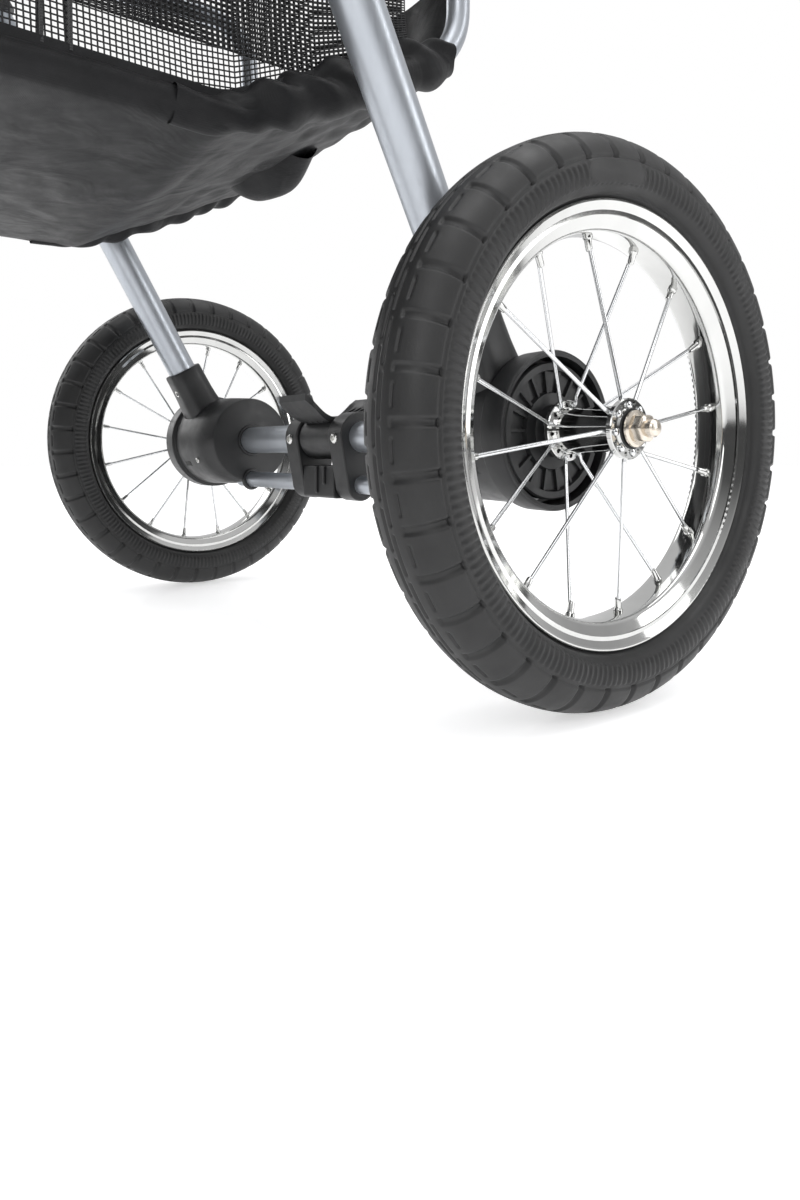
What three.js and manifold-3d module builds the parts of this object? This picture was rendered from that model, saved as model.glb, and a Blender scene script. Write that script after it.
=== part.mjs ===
// All-terrain baby stroller: three spoked wheels, drum-style rear hubs joined by a
// twin-tube axle with a centre foot brake, a folding tube frame, seat, canopy and basket.
// Millimetres, +Z up, -Y is the front of the stroller, +X its left side.
import * as THREE from 'three';
import { mergeVertices } from 'three/addons/utils/BufferGeometryUtils.js';
import Module from 'manifold-3d';

const wasm = await Module();
wasm.setup();

// ---------------------------------------------------------------- driving dimensions
const GAP = 0.3; // between pieces that touch
const RUN = 0.3; // radial clearance of a shaft in its bore

// wheels
const WHEEL_R = 150;
const TYRE_HALF_W = 24.3;
const TYRE_FACETS = 48;
const RIM_FLANGE_R = 115.4;
const RIM_FLANGE_X = 15.8;
const RIM_LIP_R = 102.6;
const RIM_LIP_X = 9.3;
const RIM_INNER_R = 100.5;
const RIM_WALL = 1.8;
const SPOKES = 16;
const SPOKE_R = 1.1;
const TRACK = 532; // between the mid planes of the rear wheels
const HALF_TRACK = TRACK / 2;
const WHEELBASE = 610;
const TRAIL = 40; // of the front wheel behind its swivel axis

// hubs and wheel axles
const HUB_BARREL_R = 12.5;
const FLANGE_R = 15;
const FLANGE_IN_R = 17;
const FLANGE_X = 15.5; // outer flange from the wheel's mid plane
const FLANGE_IN_X = -25;
const AXLE_R = 6;

// rear drum housings and their brake gear
const DRUM_INSET = 31; // open face of the drum, from the wheel's mid plane
const DRUM_LENGTH = 97;
const DRUM_OUT_X = HALF_TRACK - DRUM_INSET;
const DRUM_IN_X = DRUM_OUT_X - DRUM_LENGTH; // closed inner face
const DRUM_R = 45;
const DRUM_IN_R = 39;
const DRUM_CUP_R = 41;
const GEAR_R = 39.5;
const GEAR_SLOT_R = 32.5;
const GEAR_SLOTS = 12;
const GEAR_T = 10;

// twin-tube rear axle
const AXLE_TUBE_R = 11.8;
const BRAKE_TUBE_R = 7;
const BRAKE_TUBE_BORE = 5.2;
const BRAKE_ROD_R = 3.5;
const BRAKE_DROP = 36.5; // lower tube below the wheel axis
const CHEEK_IN_X = 23; // cheeks of the centre block
const CHEEK_OUT_X = 42;
const PEDAL_REACH = 36;
const PEDAL_RISE = 33;

// frame tubes
const TUBE_R = 13;
const SOCKET_R = 17;
const LEG_INSET = 66.5; // leg axis at axle height, from the wheel's mid plane
const LEG_X = HALF_TRACK - LEG_INSET;
const LEG_FOOT_Y = -4.2;
const LEG_LEAN = THREE.MathUtils.degToRad(28.7);
const LEG_SPLAY = THREE.MathUtils.degToRad(1.83);
const LEG_LENGTH = 468; // axle height to fold pivot
const HUB_DISC_R = 30; // fold joint discs
const HUB_PITCH = 24; // from one disc to the next along the pivot
const HUB_DISC_T = HUB_PITCH - 2 * GAP; // discs stack face to face
const HUB_SOCKET_FROM = 31.5; // from the pivot to the start of a tube socket
const HUB_SOCKET_TO = 64;
const PIVOT_R = 5;
const HANDLE_LENGTH = 613;
const HANDLE_LEAN = THREE.MathUtils.degToRad(49.2); // above the horizontal
const HANDLE_INSET = 66; // upper corner of the handle, from the wheel's mid plane
const HANDLE_TOP_X = HALF_TRACK - HANDLE_INSET;
const KNEE_DY = -195; // bend of the front tubes, from the pivot
const KNEE_DZ = -90;
const HEAD_X = 40; // end of the front tubes at the steering head
const HEAD_Z = 372;
const GRIP_INSET = 75; // end of the grip, from the upper corner of the handle
const GRIP_HALF = HANDLE_TOP_X - GRIP_INSET;

// seat, canopy, basket
const SEAT_MARGIN = 1.5; // room beside the seat, from the inner fold disc's mid plane at axle height
const SEAT_HALF_W = LEG_X - 2 * HUB_PITCH - SEAT_MARGIN;
const BOARD_T = 8;
const PAD_T = 28;
const BACK_MARGIN = 8; // the backrest is this much narrower each side, to clear the pivot bolts
const BACK_HALF_W = SEAT_HALF_W - BACK_MARGIN;
const BACK_LEAN = THREE.MathUtils.degToRad(25);
const BACK_HEIGHT = 470;
const CANOPY_S = 380; // canopy pivot along the handle from the fold pivot
const CANOPY_R = 262;
const CANOPY_REAR = THREE.MathUtils.degToRad(75);
const CANOPY_FRONT = THREE.MathUtils.degToRad(142);
const RIB_R = 4;
const RIB_BEND = 105;
const CLOTH = 2.5;
const HOOP_R = 7.5;
const HOOP_INSET = 6; // hoop inside the edge of the seat
const HOOP_X = SEAT_HALF_W - HOOP_INSET;
const BASKET_INSET = 9; // basket wall inside the hoop
const BASKET_HALF_W = HOOP_X - BASKET_INSET;
const BASKET_T = 3;
const BASKET_TOP_Z = 455; // rear edge

// ---------------------------------------------------------------- finishes
const finish = (color, roughness, metalness) =>
  new THREE.MeshStandardMaterial({ color, roughness, metalness });
const FINISH = {
  tyre: () => finish(0x2b2b2c, 0.85, 0),
  chrome: () => finish(0xdcdcda, 0.12, 1),
  nickel: () => finish(0xb5a98f, 0.3, 1),
  tube: () => finish(0x9aa2a8, 0.35, 0.8),
  plastic: () => finish(0x232426, 0.5, 0),
  steel: () => finish(0xa9adb0, 0.3, 1),
  foam: () => finish(0x1b1b1c, 0.9, 0),
  fabric: () => finish(0x26272b, 0.8, 0),
  mesh: () => finish(0x1c1d20, 0.9, 0),
};

// ---------------------------------------------------------------- helpers
const V = (x, y, z) => new THREE.Vector3(x, y, z);
const SIDES = { left: 1, right: -1 };

// a manifold solid from a closed three.js geometry
function solid(geometry) {
  const bare = geometry.index ? geometry.toNonIndexed() : geometry.clone();
  bare.deleteAttribute('normal');
  bare.deleteAttribute('uv');
  const merged = mergeVertices(bare, 1e-4);
  const position = merged.getAttribute('position');
  const index = Array.from(merged.index.array);
  const corner = (i) => new THREE.Vector3().fromBufferAttribute(position, i);
  const kept = [];
  let volume = 0;
  for (let i = 0; i < index.length; i += 3) {
    const [a, b, c] = index.slice(i, i + 3);
    if (a === b || b === c || c === a) continue;
    kept.push([a, b, c]);
    volume += corner(a).dot(corner(b).cross(corner(c)));
  }
  const out = kept.flatMap(([a, b, c]) => (volume < 0 ? [a, c, b] : [a, b, c]));
  return new wasm.Manifold(
    new wasm.Mesh({
      numProp: 3,
      vertProperties: new Float32Array(position.array),
      triVerts: new Uint32Array(out),
    }),
  );
}

function meshOf(name, body, material) {
  const m = body.getMesh();
  const geometry = new THREE.BufferGeometry();
  geometry.setAttribute('position', new THREE.BufferAttribute(m.vertProperties, 3));
  geometry.setIndex(new THREE.BufferAttribute(m.triVerts, 1));
  geometry.computeVertexNormals();
  const mesh = new THREE.Mesh(geometry, material);
  mesh.name = name;
  return mesh;
}

const ring = (r, n, turn = 0) =>
  Array.from({ length: n }, (_, i) => {
    const a = turn + (2 * Math.PI * i) / n;
    return new THREE.Vector2(r * Math.cos(a), r * Math.sin(a));
  });

// radius of an n-sided bore whose flats clear a round of radius r
const around = (r, n) => (r + RUN) / Math.cos(Math.PI / n);

// a cylinder from a to b
function rod(a, b, r, n = 16) {
  const g = new THREE.CylinderGeometry(r, r, a.distanceTo(b), n);
  const turn = new THREE.Quaternion().setFromUnitVectors(
    V(0, 1, 0),
    b.clone().sub(a).normalize(),
  );
  g.applyQuaternion(turn);
  g.translate((a.x + b.x) / 2, (a.y + b.y) / 2, (a.z + b.z) / 2);
  return solid(g);
}

const bore = (a, b, r, n = 16) => rod(a, b, around(r, n), n);

// a closed profile of [x, r] points turned about the X axis
function turned(profile, n, phase = 0) {
  const points = [...profile, profile[0]].map(([x, r]) => new THREE.Vector2(r, x));
  const g = new THREE.LatheGeometry(points, n, phase);
  g.rotateZ(-Math.PI / 2);
  return solid(g);
}

// a plate whose outline lies in the YZ plane, from x0 to x1
function plate(outline, x0, x1, holes = []) {
  const shape = new THREE.Shape(outline.map(([y, z]) => new THREE.Vector2(y, z)));
  shape.holes = holes.map((h) => new THREE.Path(h));
  const g = new THREE.ExtrudeGeometry(shape, {
    depth: x1 - x0,
    bevelEnabled: false,
  });
  g.applyMatrix4(new THREE.Matrix4().makeBasis(V(0, 1, 0), V(0, 0, 1), V(1, 0, 0)));
  g.translate(x0, 0, 0);
  return solid(g);
}

// a centre line that passes through its own points, with the corner tangents shared
class Line3 extends THREE.Curve {
  constructor(points) {
    super();
    this.points = points;
  }

  getPoint(t, target = V(0, 0, 0)) {
    const last = this.points.length - 1;
    const i = Math.min(Math.floor(t * last + 1e-9), last - 1);
    return target.copy(this.points[i]).lerp(this.points[i + 1], t * last - i);
  }

  getPointAt(u, target) {
    return this.getPoint(u, target);
  }

  getTangentAt(u, target = V(0, 0, 0)) {
    const last = this.points.length - 1;
    const i = Math.round(u * last);
    const before = this.points[Math.max(i - 1, 0)];
    const after = this.points[Math.min(i + 1, last)];
    const here = this.points[i];
    target.set(0, 0, 0);
    if (i > 0) target.add(here.clone().sub(before).normalize());
    if (i < last) target.add(after.clone().sub(here).normalize());
    return target.normalize();
  }
}

// straight runs joined by round bends
function bent(corners, radius, steps = 3) {
  const path = [corners[0]];
  for (let i = 1; i < corners.length - 1; i += 1) {
    const here = corners[i];
    const back = corners[i - 1].clone().sub(here);
    const on = corners[i + 1].clone().sub(here);
    const half = back.angleTo(on) / 2;
    const reach = Math.min(radius / Math.tan(half), back.length() * 0.45, on.length() * 0.45);
    const start = here.clone().add(back.setLength(reach));
    const end = here.clone().add(on.setLength(reach));
    path.push(...new THREE.QuadraticBezierCurve3(start, here, end).getPoints(steps));
  }
  path.push(corners[corners.length - 1]);
  return path;
}

function tube(path, r, n = 8) {
  const g = new THREE.ExtrudeGeometry(new THREE.Shape(ring(r, n)), {
    steps: path.length - 1,
    extrudePath: new Line3(path),
    bevelEnabled: false,
  });
  return solid(g);
}

const join = (...bodies) => bodies.reduce((a, b) => a.add(b));
const cut = (body, ...tools) => tools.reduce((a, b) => a.subtract(b), body);

// ---------------------------------------------------------------- places
const AXLE = V(0, 0, WHEEL_R); // middle of the rear axle
const FRONT_AXLE = V(0, -WHEELBASE, WHEEL_R);
const SWIVEL = V(0, -WHEELBASE - TRAIL, 0);

const legDirection = (side) =>
  V(
    side * Math.sin(LEG_SPLAY),
    -Math.sin(LEG_LEAN) * Math.cos(LEG_SPLAY),
    Math.cos(LEG_LEAN) * Math.cos(LEG_SPLAY),
  );
const legFoot = (side) => V(side * LEG_X, LEG_FOOT_Y, WHEEL_R);
const legAt = (side, s) => legFoot(side).add(legDirection(side).multiplyScalar(s));

const PIVOT = legAt(1, LEG_LENGTH); // left fold pivot, on the leg's disc
const LEG_DISC_X = PIVOT.x;
const FRAME_DISC_X = LEG_DISC_X - HUB_PITCH;
const HANDLE_DISC_X = LEG_DISC_X - 2 * HUB_PITCH;
const pivotAt = (x) => V(x, PIVOT.y, PIVOT.z);

const frameStart = (side) => pivotAt(side * FRAME_DISC_X);
const knee = (side) =>
  V(side * FRAME_DISC_X, PIVOT.y + KNEE_DY, PIVOT.z + KNEE_DZ);
const headEnd = (side) => V(side * HEAD_X, SWIVEL.y + 12, HEAD_Z);
const alongTo = (a, b, s) => a.clone().add(b.clone().sub(a).setLength(s));
const frameAt = (side, s) => alongTo(frameStart(side), knee(side), s);

const handleStart = (side) => pivotAt(side * HANDLE_DISC_X);
const handleTop = (side) =>
  V(
    side * HANDLE_TOP_X,
    PIVOT.y + HANDLE_LENGTH * Math.cos(HANDLE_LEAN),
    PIVOT.z + HANDLE_LENGTH * Math.sin(HANDLE_LEAN),
  );
const handleAt = (side, s) => alongTo(handleStart(side), handleTop(side), s);

// ---------------------------------------------------------------- wheels
// outer face of the rim's sloping side at a radius
const rimFlankX = (r) =>
  RIM_LIP_X + ((r - RIM_LIP_R) / (RIM_FLANGE_R - RIM_LIP_R)) * (RIM_FLANGE_X - RIM_LIP_X);

// a wheel's own frame: X along the axle, +X its outer side
function tyre(name) {
  const crown = WHEEL_R / Math.cos(Math.PI / TYRE_FACETS); // facets reach the floor
  const bead = (r) => rimFlankX(r) - RIM_WALL - GAP - 0.2;
  const seat = RIM_FLANGE_R - 6.4;
  const half = [
    [bead(seat), seat],
    [bead(RIM_FLANGE_R), RIM_FLANGE_R],
    [bead(RIM_FLANGE_R), RIM_FLANGE_R + 0.9],
    [TYRE_HALF_W, WHEEL_R - 23],
    [TYRE_HALF_W - 4, WHEEL_R - 9],
    [7, crown],
  ];
  const other = half.map(([x, r]) => [-x, r]).reverse();
  const phase = Math.PI / TYRE_FACETS;
  return meshOf(name, turned([...half, ...other], TYRE_FACETS, phase), FINISH.tyre());
}

function rim(name) {
  const well = RIM_FLANGE_R - 7.4;
  const half = [
    [RIM_LIP_X, RIM_LIP_R],
    [RIM_FLANGE_X, RIM_FLANGE_R],
    [rimFlankX(RIM_FLANGE_R) - RIM_WALL, RIM_FLANGE_R],
    [rimFlankX(well) - RIM_WALL, well],
  ];
  const other = half.map(([x, r]) => [-x, r]).reverse();
  const profile = [[0, RIM_INNER_R], ...half, ...other];
  return meshOf(name, turned(profile, 36), FINISH.chrome());
}

// hub shell and its spokes, laced alternately to the two flanges
function hub(name, innerX, innerR) {
  const shellBore = around(AXLE_R, 16);
  const shell = turned(
    [
      [innerX - 2, shellBore],
      [innerX - 2, innerR],
      [innerX + 2, innerR],
      [innerX + 2, HUB_BARREL_R],
      [FLANGE_X - 2, HUB_BARREL_R],
      [FLANGE_X - 2, FLANGE_R],
      [FLANGE_X + 2, FLANGE_R],
      [FLANGE_X + 2, AXLE_R + 3.5],
      [FLANGE_X + 4.5, AXLE_R + 3.5],
      [FLANGE_X + 4.5, shellBore],
    ],
    16,
  );
  const tip = RIM_INNER_R * Math.cos(Math.PI / 36) - GAP;
  const spokes = [];
  for (let i = 0; i < SPOKES; i += 1) {
    const a = (2 * Math.PI * (i + 0.5)) / SPOKES;
    const outer = i % 2 === 0;
    const x = outer ? FLANGE_X : innerX;
    const from = (outer ? FLANGE_R : innerR) - 2.5;
    const root = V(x, from * Math.cos(a), from * Math.sin(a));
    const end = V(0, tip * Math.cos(a), tip * Math.sin(a));
    spokes.push(rod(root, end, SPOKE_R, 4));
  }
  return meshOf(name, join(shell, ...spokes), FINISH.chrome());
}

// through axle of a rear wheel, with its outer nut
function rearAxle(name) {
  const inner = DRUM_IN_X + 22 - TRACK / 2;
  const nut = FLANGE_X + 5.5;
  const profile = [
    [inner, 0],
    [inner, AXLE_R],
    [nut, AXLE_R],
    [nut, 10],
    [nut + 4, 10],
    [nut + 4, 5.75],
    [nut + 13, 5.75],
    [nut + 13, 0],
  ];
  const points = profile.map(([x, r]) => new THREE.Vector2(r, x));
  const g = new THREE.LatheGeometry(points, 16);
  g.rotateZ(-Math.PI / 2);
  return meshOf(name, solid(g), FINISH.nickel());
}

// slotted brake ring that turns with the wheel, inside the drum
function brakeGear(name) {
  const outline = [];
  const pitch = (2 * Math.PI) / GEAR_SLOTS;
  const slot = 5 / GEAR_R; // half width of a slot, as an angle
  for (let i = 0; i < GEAR_SLOTS; i += 1) {
    const a = i * pitch - Math.PI / 2;
    const corners = [
      [GEAR_R, a - slot],
      [GEAR_SLOT_R, a - slot],
      [GEAR_SLOT_R, a + slot],
      [GEAR_R, a + slot],
      [GEAR_R, a + pitch / 2],
    ];
    corners.forEach(([r, t]) => outline.push([r * Math.cos(t), r * Math.sin(t)]));
  }
  const face = DRUM_OUT_X - 3 - TRACK / 2;
  const holes = [ring(around(AXLE_R, 16), 16)];
  const disc = plate(outline, face - GEAR_T, face, holes);
  const neckBore = around(AXLE_R, 16);
  const neck = turned(
    [
      [face - 1, neckBore],
      [face - 1, 14],
      [FLANGE_IN_X - 2 - GAP, 14],
      [FLANGE_IN_X - 2 - GAP, neckBore],
    ],
    16,
  );
  return meshOf(name, join(disc, neck), FINISH.plastic());
}

function rearWheel(side) {
  const group = new THREE.Group();
  group.add(
    tyre(`rear_tyre_${side}`),
    rim(`rear_rim_${side}`),
    hub(`rear_hub_${side}`, FLANGE_IN_X, FLANGE_IN_R),
    brakeGear(`brake_gear_${side}`),
    rearAxle(`rear_axle_${side}`),
  );
  group.position.set((SIDES[side] * TRACK) / 2, 0, WHEEL_R);
  if (SIDES[side] < 0) group.rotation.z = Math.PI;
  return group;
}

// ---------------------------------------------------------------- rear axle
function drumHousing(side) {
  const s = SIDES[side];
  const shell = turned(
    [
      [DRUM_IN_X, 0.01],
      [DRUM_IN_X, DRUM_IN_R - 2],
      [DRUM_IN_X + 2, DRUM_IN_R],
      [DRUM_OUT_X - 20, DRUM_R - 3],
      [DRUM_OUT_X - 13, DRUM_R],
      [DRUM_OUT_X, DRUM_R],
      [DRUM_OUT_X, 0.01],
    ],
    30,
  );
  const body = shell.translate([0, 0, WHEEL_R]).mirror(s < 0 ? [1, 0, 0] : [0, 1, 0]);
  const socket = rod(legAt(s, 20), legAt(s, 77), SOCKET_R);
  const at = (x, dz = 0) => V(s * x, 0, WHEEL_R + dz);
  const cupFloor = DRUM_IN_X + 40;
  const step = DRUM_OUT_X - 18;
  const tubeEnd = DRUM_IN_X + 20;
  return meshOf(
    `drum_housing_${side}`,
    cut(
      join(body, socket),
      rod(at(step), at(DRUM_OUT_X + 5), DRUM_CUP_R, 30),
      rod(at(cupFloor), at(step + 1), DRUM_CUP_R - 4, 30),
      bore(at(DRUM_IN_X - 5), at(tubeEnd), AXLE_TUBE_R),
      bore(at(tubeEnd - 1), at(cupFloor + 1), AXLE_R),
      bore(at(DRUM_IN_X - 5, -BRAKE_DROP), at(tubeEnd, -BRAKE_DROP), BRAKE_TUBE_R, 16),
      bore(at(tubeEnd - 1, -BRAKE_DROP), at(step + 1, -BRAKE_DROP), BRAKE_ROD_R, 12),
      bore(legAt(s, DRUM_R + 0.7), legAt(s, 80), TUBE_R),
    ),
    FINISH.plastic(),
  );
}

function axleTube() {
  const end = DRUM_IN_X + 20 - GAP;
  return meshOf(
    'axle_tube',
    rod(V(-end, 0, WHEEL_R), V(end, 0, WHEEL_R), AXLE_TUBE_R),
    FINISH.tube(),
  );
}

// lower tube, which guides a brake rod from the centre block to its drum
function brakeTube(side) {
  const s = SIDES[side];
  const z = WHEEL_R - BRAKE_DROP;
  const inner = CHEEK_IN_X + 5;
  const outer = DRUM_IN_X + 20 - GAP;
  const at = (x) => V(s * x, 0, z);
  return meshOf(
    `brake_tube_${side}`,
    cut(
      rod(at(inner), at(outer), BRAKE_TUBE_R, 16),
      rod(at(inner - 5), at(outer + 5), BRAKE_TUBE_BORE, 16),
    ),
    FINISH.tube(),
  );
}

function brakeRod(side) {
  const s = SIDES[side];
  const z = WHEEL_R - BRAKE_DROP;
  return meshOf(
    `brake_rod_${side}`,
    rod(V(s * 6, 0, z), V(s * (DRUM_OUT_X - 3 - GEAR_T - 3), 0, z), BRAKE_ROD_R, 10),
    FINISH.steel(),
  );
}

// outline around the upper and lower tubes
function cheekOutline(upperR, lowerR) {
  const outline = [];
  for (let i = 0; i <= 8; i += 1) {
    const a = (Math.PI * i) / 8;
    outline.push([upperR * Math.cos(a), upperR * Math.sin(a)]);
  }
  for (let i = 0; i <= 6; i += 1) {
    const a = Math.PI + (Math.PI * i) / 6;
    outline.push([lowerR * Math.cos(a), -BRAKE_DROP + lowerR * Math.sin(a)]);
  }
  return outline;
}

function axleCheek(side) {
  const s = SIDES[side];
  const at = (x, dz = 0) => V(s * x, 0, dz);
  const [x0, x1] = s > 0 ? [CHEEK_IN_X, CHEEK_OUT_X] : [-CHEEK_OUT_X, -CHEEK_IN_X];
  const body = cut(
    plate(cheekOutline(19, 12.5), x0, x1),
    bore(at(CHEEK_IN_X - 5), at(CHEEK_OUT_X + 5), AXLE_TUBE_R),
    bore(at(CHEEK_IN_X + 5 - GAP, -BRAKE_DROP), at(CHEEK_OUT_X + 5, -BRAKE_DROP), BRAKE_TUBE_R, 16),
    bore(at(CHEEK_IN_X - 5, -BRAKE_DROP), at(CHEEK_OUT_X, -BRAKE_DROP), BRAKE_ROD_R, 12),
  );
  const mesh = meshOf(`axle_cheek_${side}`, body, FINISH.plastic());
  mesh.position.copy(AXLE);
  return mesh;
}

// block between the cheeks that holds the inner ends of the brake rods
function brakeBlock() {
  const half = CHEEK_IN_X - GAP;
  const top = -BRAKE_DROP + 15;
  const body = cut(
    plate(
      [
        [-13, top],
        [-13, -BRAKE_DROP - 11],
        [13, -BRAKE_DROP - 11],
        [13, top],
      ],
      -half,
      half,
    ),
    bore(V(-half - 5, 0, -BRAKE_DROP), V(half + 5, 0, -BRAKE_DROP), BRAKE_ROD_R, 12),
  );
  const mesh = meshOf('brake_block', body, FINISH.plastic());
  mesh.position.copy(AXLE);
  return mesh;
}

// rocking foot pedal: a sleeve on the upper tube with a wing to the front and rear
function brakePedal() {
  const half = CHEEK_IN_X - 0.5;
  const sleeveR = 17;
  const wing = (dir) => [
    [dir * 4, sleeveR - 4],
    [dir * 12, sleeveR - 6],
    [dir * PEDAL_REACH, PEDAL_RISE - 7],
    [dir * (PEDAL_REACH + 2), PEDAL_RISE - 1],
    [dir * (PEDAL_REACH - 2), PEDAL_RISE],
    [dir * 10, sleeveR + 1.5],
    [0, sleeveR],
  ];
  const flip = (outline) => outline.slice().reverse();
  const sleeve = rod(V(-half, 0, 0), V(half, 0, 0), sleeveR, 24);
  const wings = join(
    plate(wing(1), -half, half),
    plate(flip(wing(-1)), -half, half),
  );
  const body = cut(
    join(sleeve, wings),
    bore(V(-half - 5, 0, 0), V(half + 5, 0, 0), AXLE_TUBE_R),
  );
  const mesh = meshOf('brake_pedal', body, FINISH.plastic());
  mesh.position.copy(AXLE);
  return mesh;
}

function rearLeg(side) {
  const s = SIDES[side];
  const from = legAt(s, DRUM_R + 1);
  const to = legAt(s, LEG_LENGTH - HUB_SOCKET_FROM - 2);
  return meshOf(`rear_leg_${side}`, rod(from, to, TUBE_R), FINISH.tube());
}

// ---------------------------------------------------------------- fold joints
// one disc of a fold joint, with the socket for its tube
function foldDisc(name, side, x, toward, hoop = false) {
  const s = SIDES[side];
  const centre = pivotAt(s * x);
  const half = HUB_DISC_T / 2;
  const flat = V(0, toward.y - centre.y, toward.z - centre.z).normalize();
  const across = V(0, -flat.z, flat.y);
  const corner = (a, b) => [
    centre.y + flat.y * a + across.y * b,
    centre.z + flat.z * a + across.z * b,
  ];
  const disc = rod(V(s * x - half, centre.y, centre.z), V(s * x + half, centre.y, centre.z), HUB_DISC_R, 22);
  const neck = plate(
    [corner(12, -15), corner(HUB_SOCKET_FROM + 3, -15), corner(HUB_SOCKET_FROM + 3, 15), corner(12, 15)],
    s * x - half,
    s * x + half,
  );
  const at = (d) => alongTo(centre, toward, d);
  const socket = rod(at(HUB_SOCKET_FROM), at(HUB_SOCKET_TO), SOCKET_R);
  const pinEnd = (d) => V(s * x + d, centre.y, centre.z);
  const pin = bore(pinEnd(-half - 5), pinEnd(half + 5), PIVOT_R, 12);
  const hole = bore(at(HUB_SOCKET_FROM + 2 - GAP), at(HUB_SOCKET_TO + 5), TUBE_R);
  const holes = [pin, hole];
  let body = join(disc, neck, socket);
  if (hoop) {
    body = join(body, rod(hoopEnd(s, HUB_DISC_R - 8), hoopEnd(s, HUB_SOCKET_TO - 8), HOOP_R + 3.5));
    holes.push(bore(hoopEnd(s, HUB_SOCKET_FROM + 2 - GAP), hoopEnd(s, HUB_SOCKET_TO), HOOP_R));
  }
  return meshOf(name, cut(body, ...holes), FINISH.plastic());
}

function pivotBolt(side) {
  const s = SIDES[side];
  const inner = HANDLE_DISC_X - HUB_DISC_T / 2 - GAP;
  const outer = LEG_DISC_X + HUB_DISC_T / 2 + GAP;
  return meshOf(
    `pivot_bolt_${side}`,
    join(
      rod(pivotAt(s * (inner - 4)), pivotAt(s * (outer + 4)), PIVOT_R, 14),
      rod(pivotAt(s * (inner - 5)), pivotAt(s * inner), 9, 14),
      rod(pivotAt(s * outer), pivotAt(s * (outer + 5)), 9, 14),
    ),
    FINISH.steel(),
  );
}

// ---------------------------------------------------------------- front frame
const frontPath = (s) => bent([frameAt(s, HUB_SOCKET_FROM + 2), knee(s), headEnd(s)], 90, 4);

function frontTube(side) {
  const path = frontPath(SIDES[side]);
  return meshOf(`front_tube_${side}`, tube(path, TUBE_R, 14), FINISH.tube());
}

// what a bar that butts against the front tubes is cut back by
const frontSaddles = () =>
  [1, -1].map((s) => tube(frontPath(s), TUBE_R + GAP * 2, 14));

const STEM_R = 11;
const HEAD_TOP = 398;
const HEAD_BOTTOM = 343;

function steeringHead() {
  const barrel = rod(V(0, SWIVEL.y, HEAD_BOTTOM), V(0, SWIVEL.y, HEAD_TOP), 24, 22);
  const arms = [1, -1].map((s) => {
    const end = headEnd(s);
    return rod(alongTo(end, knee(s), -14), alongTo(end, knee(s), 42), SOCKET_R);
  });
  const holes = [1, -1].map((s) => {
    const end = headEnd(s);
    return bore(alongTo(end, knee(s), -GAP), alongTo(end, knee(s), 60), TUBE_R);
  });
  const stemBore = bore(V(0, SWIVEL.y, HEAD_BOTTOM - 5), V(0, SWIVEL.y, HEAD_TOP + 5), STEM_R);
  return meshOf('steering_head', cut(join(barrel, ...arms), ...holes, stemBore), FINISH.plastic());
}

const FORK_IN_X = 34;
const FORK_T = 12;
const CROWN_Z = 313;

// swivelling fork with its crown, blades and stem
function frontFork() {
  const y = FRONT_AXLE.y;
  const blade = [
    [SWIVEL.y - 20, CROWN_Z + 24],
    [SWIVEL.y - 20, CROWN_Z],
    [SWIVEL.y - 10, CROWN_Z - 40],
    [y - 17, WHEEL_R],
    [y - 12, WHEEL_R - 12],
    [y, WHEEL_R - 17],
    [y + 12, WHEEL_R - 12],
    [y + 17, WHEEL_R],
    [SWIVEL.y + 28, CROWN_Z - 20],
    [SWIVEL.y + 28, CROWN_Z + 24],
  ];
  const reach = FORK_IN_X + FORK_T;
  const crown = plate(
    [
      [SWIVEL.y - 20, CROWN_Z + 24],
      [SWIVEL.y - 20, CROWN_Z + 3],
      [SWIVEL.y + 28, CROWN_Z + 3],
      [SWIVEL.y + 28, CROWN_Z + 24],
    ],
    -reach,
    reach,
  );
  const stem = rod(V(0, SWIVEL.y, CROWN_Z + 10), V(0, SWIVEL.y, HEAD_TOP + 6), STEM_R);
  const body = cut(
    join(plate(blade, FORK_IN_X, reach), plate(blade, -reach, -FORK_IN_X), crown, stem),
    bore(V(-reach - 5, y, WHEEL_R), V(reach + 5, y, WHEEL_R), AXLE_R),
  );
  return meshOf('front_fork', body, FINISH.plastic());
}

// cap that keeps the stem in the head
function stemCap() {
  const z0 = HEAD_TOP + GAP;
  const body = cut(
    rod(V(0, SWIVEL.y, z0), V(0, SWIVEL.y, z0 + 12), 19),
    bore(V(0, SWIVEL.y, z0 - 5), V(0, SWIVEL.y, HEAD_TOP + 6 + GAP), STEM_R),
  );
  return meshOf('stem_cap', body, FINISH.plastic());
}

function frontAxle() {
  const reach = FORK_IN_X + FORK_T;
  const y = FRONT_AXLE.y;
  const at = (x) => V(x, y, WHEEL_R);
  return meshOf(
    'front_axle',
    join(
      rod(at(-reach - 4), at(reach + 4), AXLE_R, 16),
      rod(at(-reach - 8), at(-reach - GAP), 10, 16),
      rod(at(reach + GAP), at(reach + 8), 10, 16),
    ),
    FINISH.nickel(),
  );
}

function frontWheel() {
  const group = new THREE.Group();
  group.add(tyre('front_tyre'), rim('front_rim'), hub('front_hub', -FLANGE_X, FLANGE_R));
  group.position.copy(FRONT_AXLE);
  return group;
}

// footrest hung from the front tubes
const FOOT_X = 120;

function footAnchor(side) {
  const a = knee(side);
  const b = headEnd(side);
  const t = (FRAME_DISC_X - FOOT_X) / (FRAME_DISC_X - HEAD_X);
  return a.lerp(b, t);
}

const FOOT_TUBE_R = 7;
const FOOT_Z = 338;

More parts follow.
